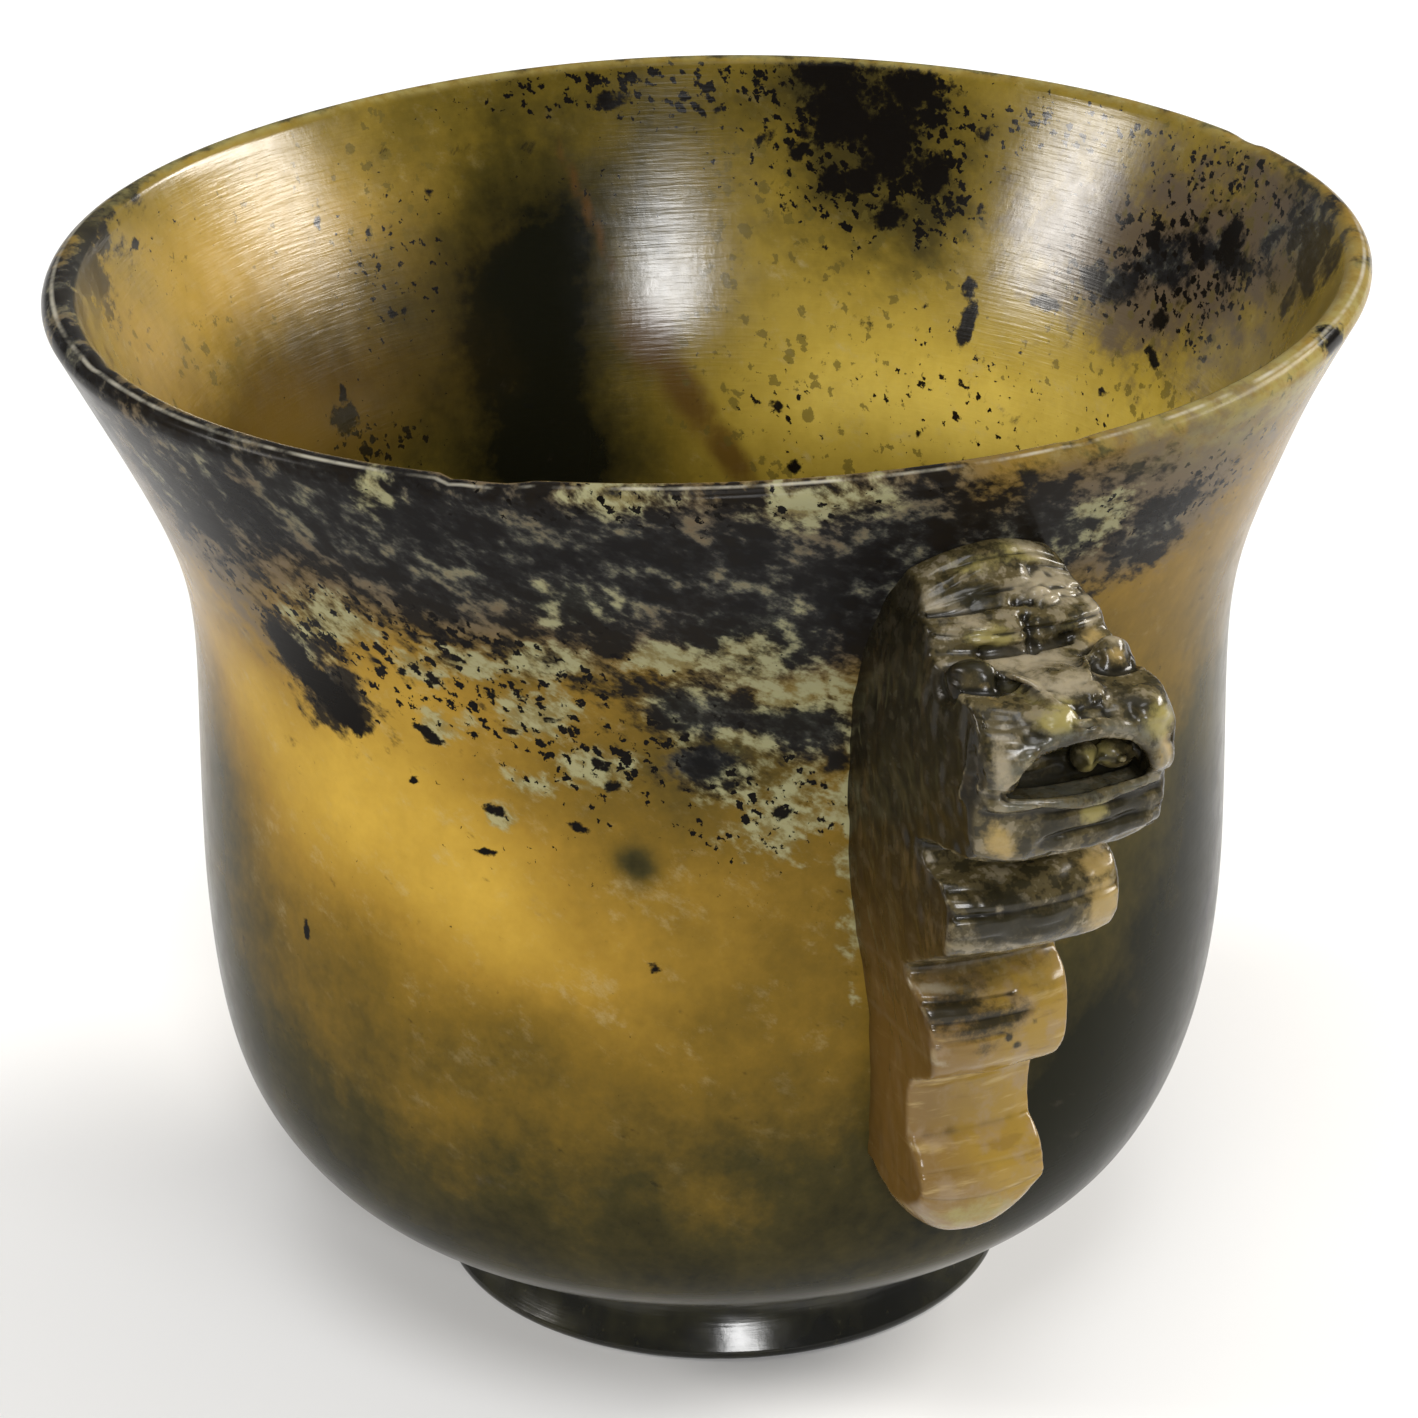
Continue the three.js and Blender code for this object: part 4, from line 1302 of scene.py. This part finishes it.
def side_stone(local, rise, fine):
    """Rough sides, brown below and nearly black above."""
    colour = rise.ease(30, 54).mix(SIDE_LOW, SIDE_TOP)
    streak = local.streaked(0, 0.3).noise(0.9, 4.0, 0.6)
    colour = (streak.ease(0.50, 0.74) * rise.ease(44, 60, 0.5, 0.15)).mix(colour, SIDE_WORN)
    return (fine.ease(0.62, 0.78, 0.0, 0.5) * rise.ease(46, 60, 1.0, 0.25)).mix(colour, SIDE_FLECK)


def handle_material(name, turn):
    """Amber flange, grey-brown head with painted light and shade on its front, dark rough sides, hollows
    darkened by painted shade and dirt, pale edges of wear.
    """
    paint = Paint(name)
    local = paint.new("VectorRotate", {"Vector": paint.place(), "Angle": -turn}, rotation_type="Z_AXIS")
    moved = paint.new("SeparateXYZ", {0: local.jolted(0.4, 4.0, 0.6, 5.0)})
    across, rise = moved.output("Y"), moved.output("Z")
    fine = local.noise(1.3, 5.0, 0.68)
    blot = local.noise(0.5, 4.0, 0.6)
    rag = fine.torn(blot, 0.7)
    colour = head_stone(paint, local, tail_stone(local, across, blot), rise, rag)
    flank, hollow = paint.field("flank"), paint.field("hollow")
    colour = (flank * 0.9).mix(colour, side_stone(local, rise, fine))
    # Darkens hollows and crevices: painted shade, partly dirt
    colour = hollow.ease(0.1, 0.7, 0.0, 0.85).mix(colour, HOLLOW_SHADE_AND_DIRT)
    colour = (hollow.ease(-0.5, -1.0) * rag.ease(0.42, 0.62) * 0.45).mix(colour, EDGE_PALE)
    return finish_jade(paint, colour, 0.2, flank.ease(0.0, 1.0, 0.28, 0.1), 0.2)


STAGE_PALE = (0.86, 0.86, 0.86, 1)
STAGE_SIZE = 6000


def floor_piece():
    """A wide pale floor that keeps the cup's shadow."""
    surface = {"Base Color": STAGE_PALE, "Roughness": 0.8, "Specular IOR Level": 0.1}
    size = STAGE_SIZE
    corners = [(-size, -size, 0), (size, -size, 0), (size, size, 0), (-size, size, 0)]
    floor = new_object("floor", corners, [(0, 1, 2, 3)], Paint("floor").surface(surface))


# Wide soft lamps far away: degrees right of the camera, height angle, apparent size, strength
SUNS = [
    (7, 25, 14, 1.55),
    (0, 62, 28, 1.0),
    (-20, 80, 60, 0.4),
]
# Softboxes: degrees right of the camera, height angle, distance, width, height, watts
LAMPS = [
    (-85, 25, 1.0, 0.34, 0.20, 4.6),
    (111, 28, 1.0, 0.80, 0.22, 10.8),
]
WARM = (1.0, 0.96, 0.9)
WORLD_LEVEL = 0.16
SUN_AWAY = 2.0


def placed(data, turn, rise, away):
    """Puts a lamp round the cup, facing it."""
    holder = linked(data.name, data)
    middle = Vector((0, 0, AIM_HEIGHT * MM))
    holder.location = middle + away * toward(CAMERA_TURN + math.radians(turn), math.radians(rise))
    holder.rotation_euler = (middle - holder.location).to_track_quat("-Z", "Y").to_euler()


def lighting():
    """Soft suns, two softboxes and a low even light all round."""
    for number, (turn, rise, apparent, strength) in enumerate(SUNS):
        sun = bpy.data.lights.new(f"sun_{number}", "SUN")
        sun.angle = math.radians(apparent)
        sun.energy = strength
        placed(sun, turn, rise, SUN_AWAY)
    for number, (turn, rise, away, wide, tall, watts) in enumerate(LAMPS):
        lamp = bpy.data.lights.new(f"softbox_{number}", "AREA")
        lamp.shape = "ELLIPSE"
        lamp.size, lamp.size_y = wide, tall
        lamp.energy = watts
        lamp.color = WARM
        placed(lamp, turn, rise, away)
    world = bpy.data.worlds.new("studio")
    world.use_nodes = True
    ground = world.node_tree.nodes["Background"]
    ground.inputs["Color"].default_value = (1, 1, 1, 1)
    ground.inputs["Strength"].default_value = WORLD_LEVEL
    bpy.context.scene.world = world


def camera():
    """The photograph's point of view."""
    back = toward(CAMERA_TURN, CAMERA_RISE)
    right = toward(CAMERA_TURN + math.pi / 2, 0)
    up = back.cross(right)
    target = right * AIM_SIDE * MM + Vector((0, 0, AIM_HEIGHT * MM))
    lens = bpy.data.cameras.new("camera")
    lens.sensor_fit = "HORIZONTAL"
    lens.sensor_width = CAMERA_SENSOR
    lens.lens = CAMERA_LENS
    lens.clip_start = CAMERA_NEAR
    holder = linked("camera", lens)
    c, s = math.cos(CAMERA_ROLL), math.sin(CAMERA_ROLL)
    turned = Matrix((right * c - up * s, right * s + up * c, back)).transposed().to_4x4()
    holder.matrix_world = Matrix.Translation(target + back * CAMERA_AWAY * MM) @ turned
    bpy.context.scene.camera = holder


def main():
    """The whole scene, and the CAD nodes that each piece stands for."""
    camera()
    lighting()
    floor_piece()
    bowl = bowl_piece(bowl_material())
    foot = foot_piece(foot_material())
    shape = handle_shape()
    pieces = [(bowl, "jade_body", ["bowl"]), (foot, "jade_foot", ["foot_ring"])]
    for hand, turn in (("right", 0.0), ("left", math.pi)):
        material = handle_material(f"jade_{hand}_handle", turn)
        piece = handle_piece(f"{hand}_handle", shape, turn, material)
        pieces.append((piece, "jade_handle", [f"{hand}_flange", f"{hand}_beast_head"]))
    for piece, slot, nodes in pieces:
        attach(piece, "root")
        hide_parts(*nodes)
    bpy.context.scene.view_settings.view_transform = "Standard"


main()
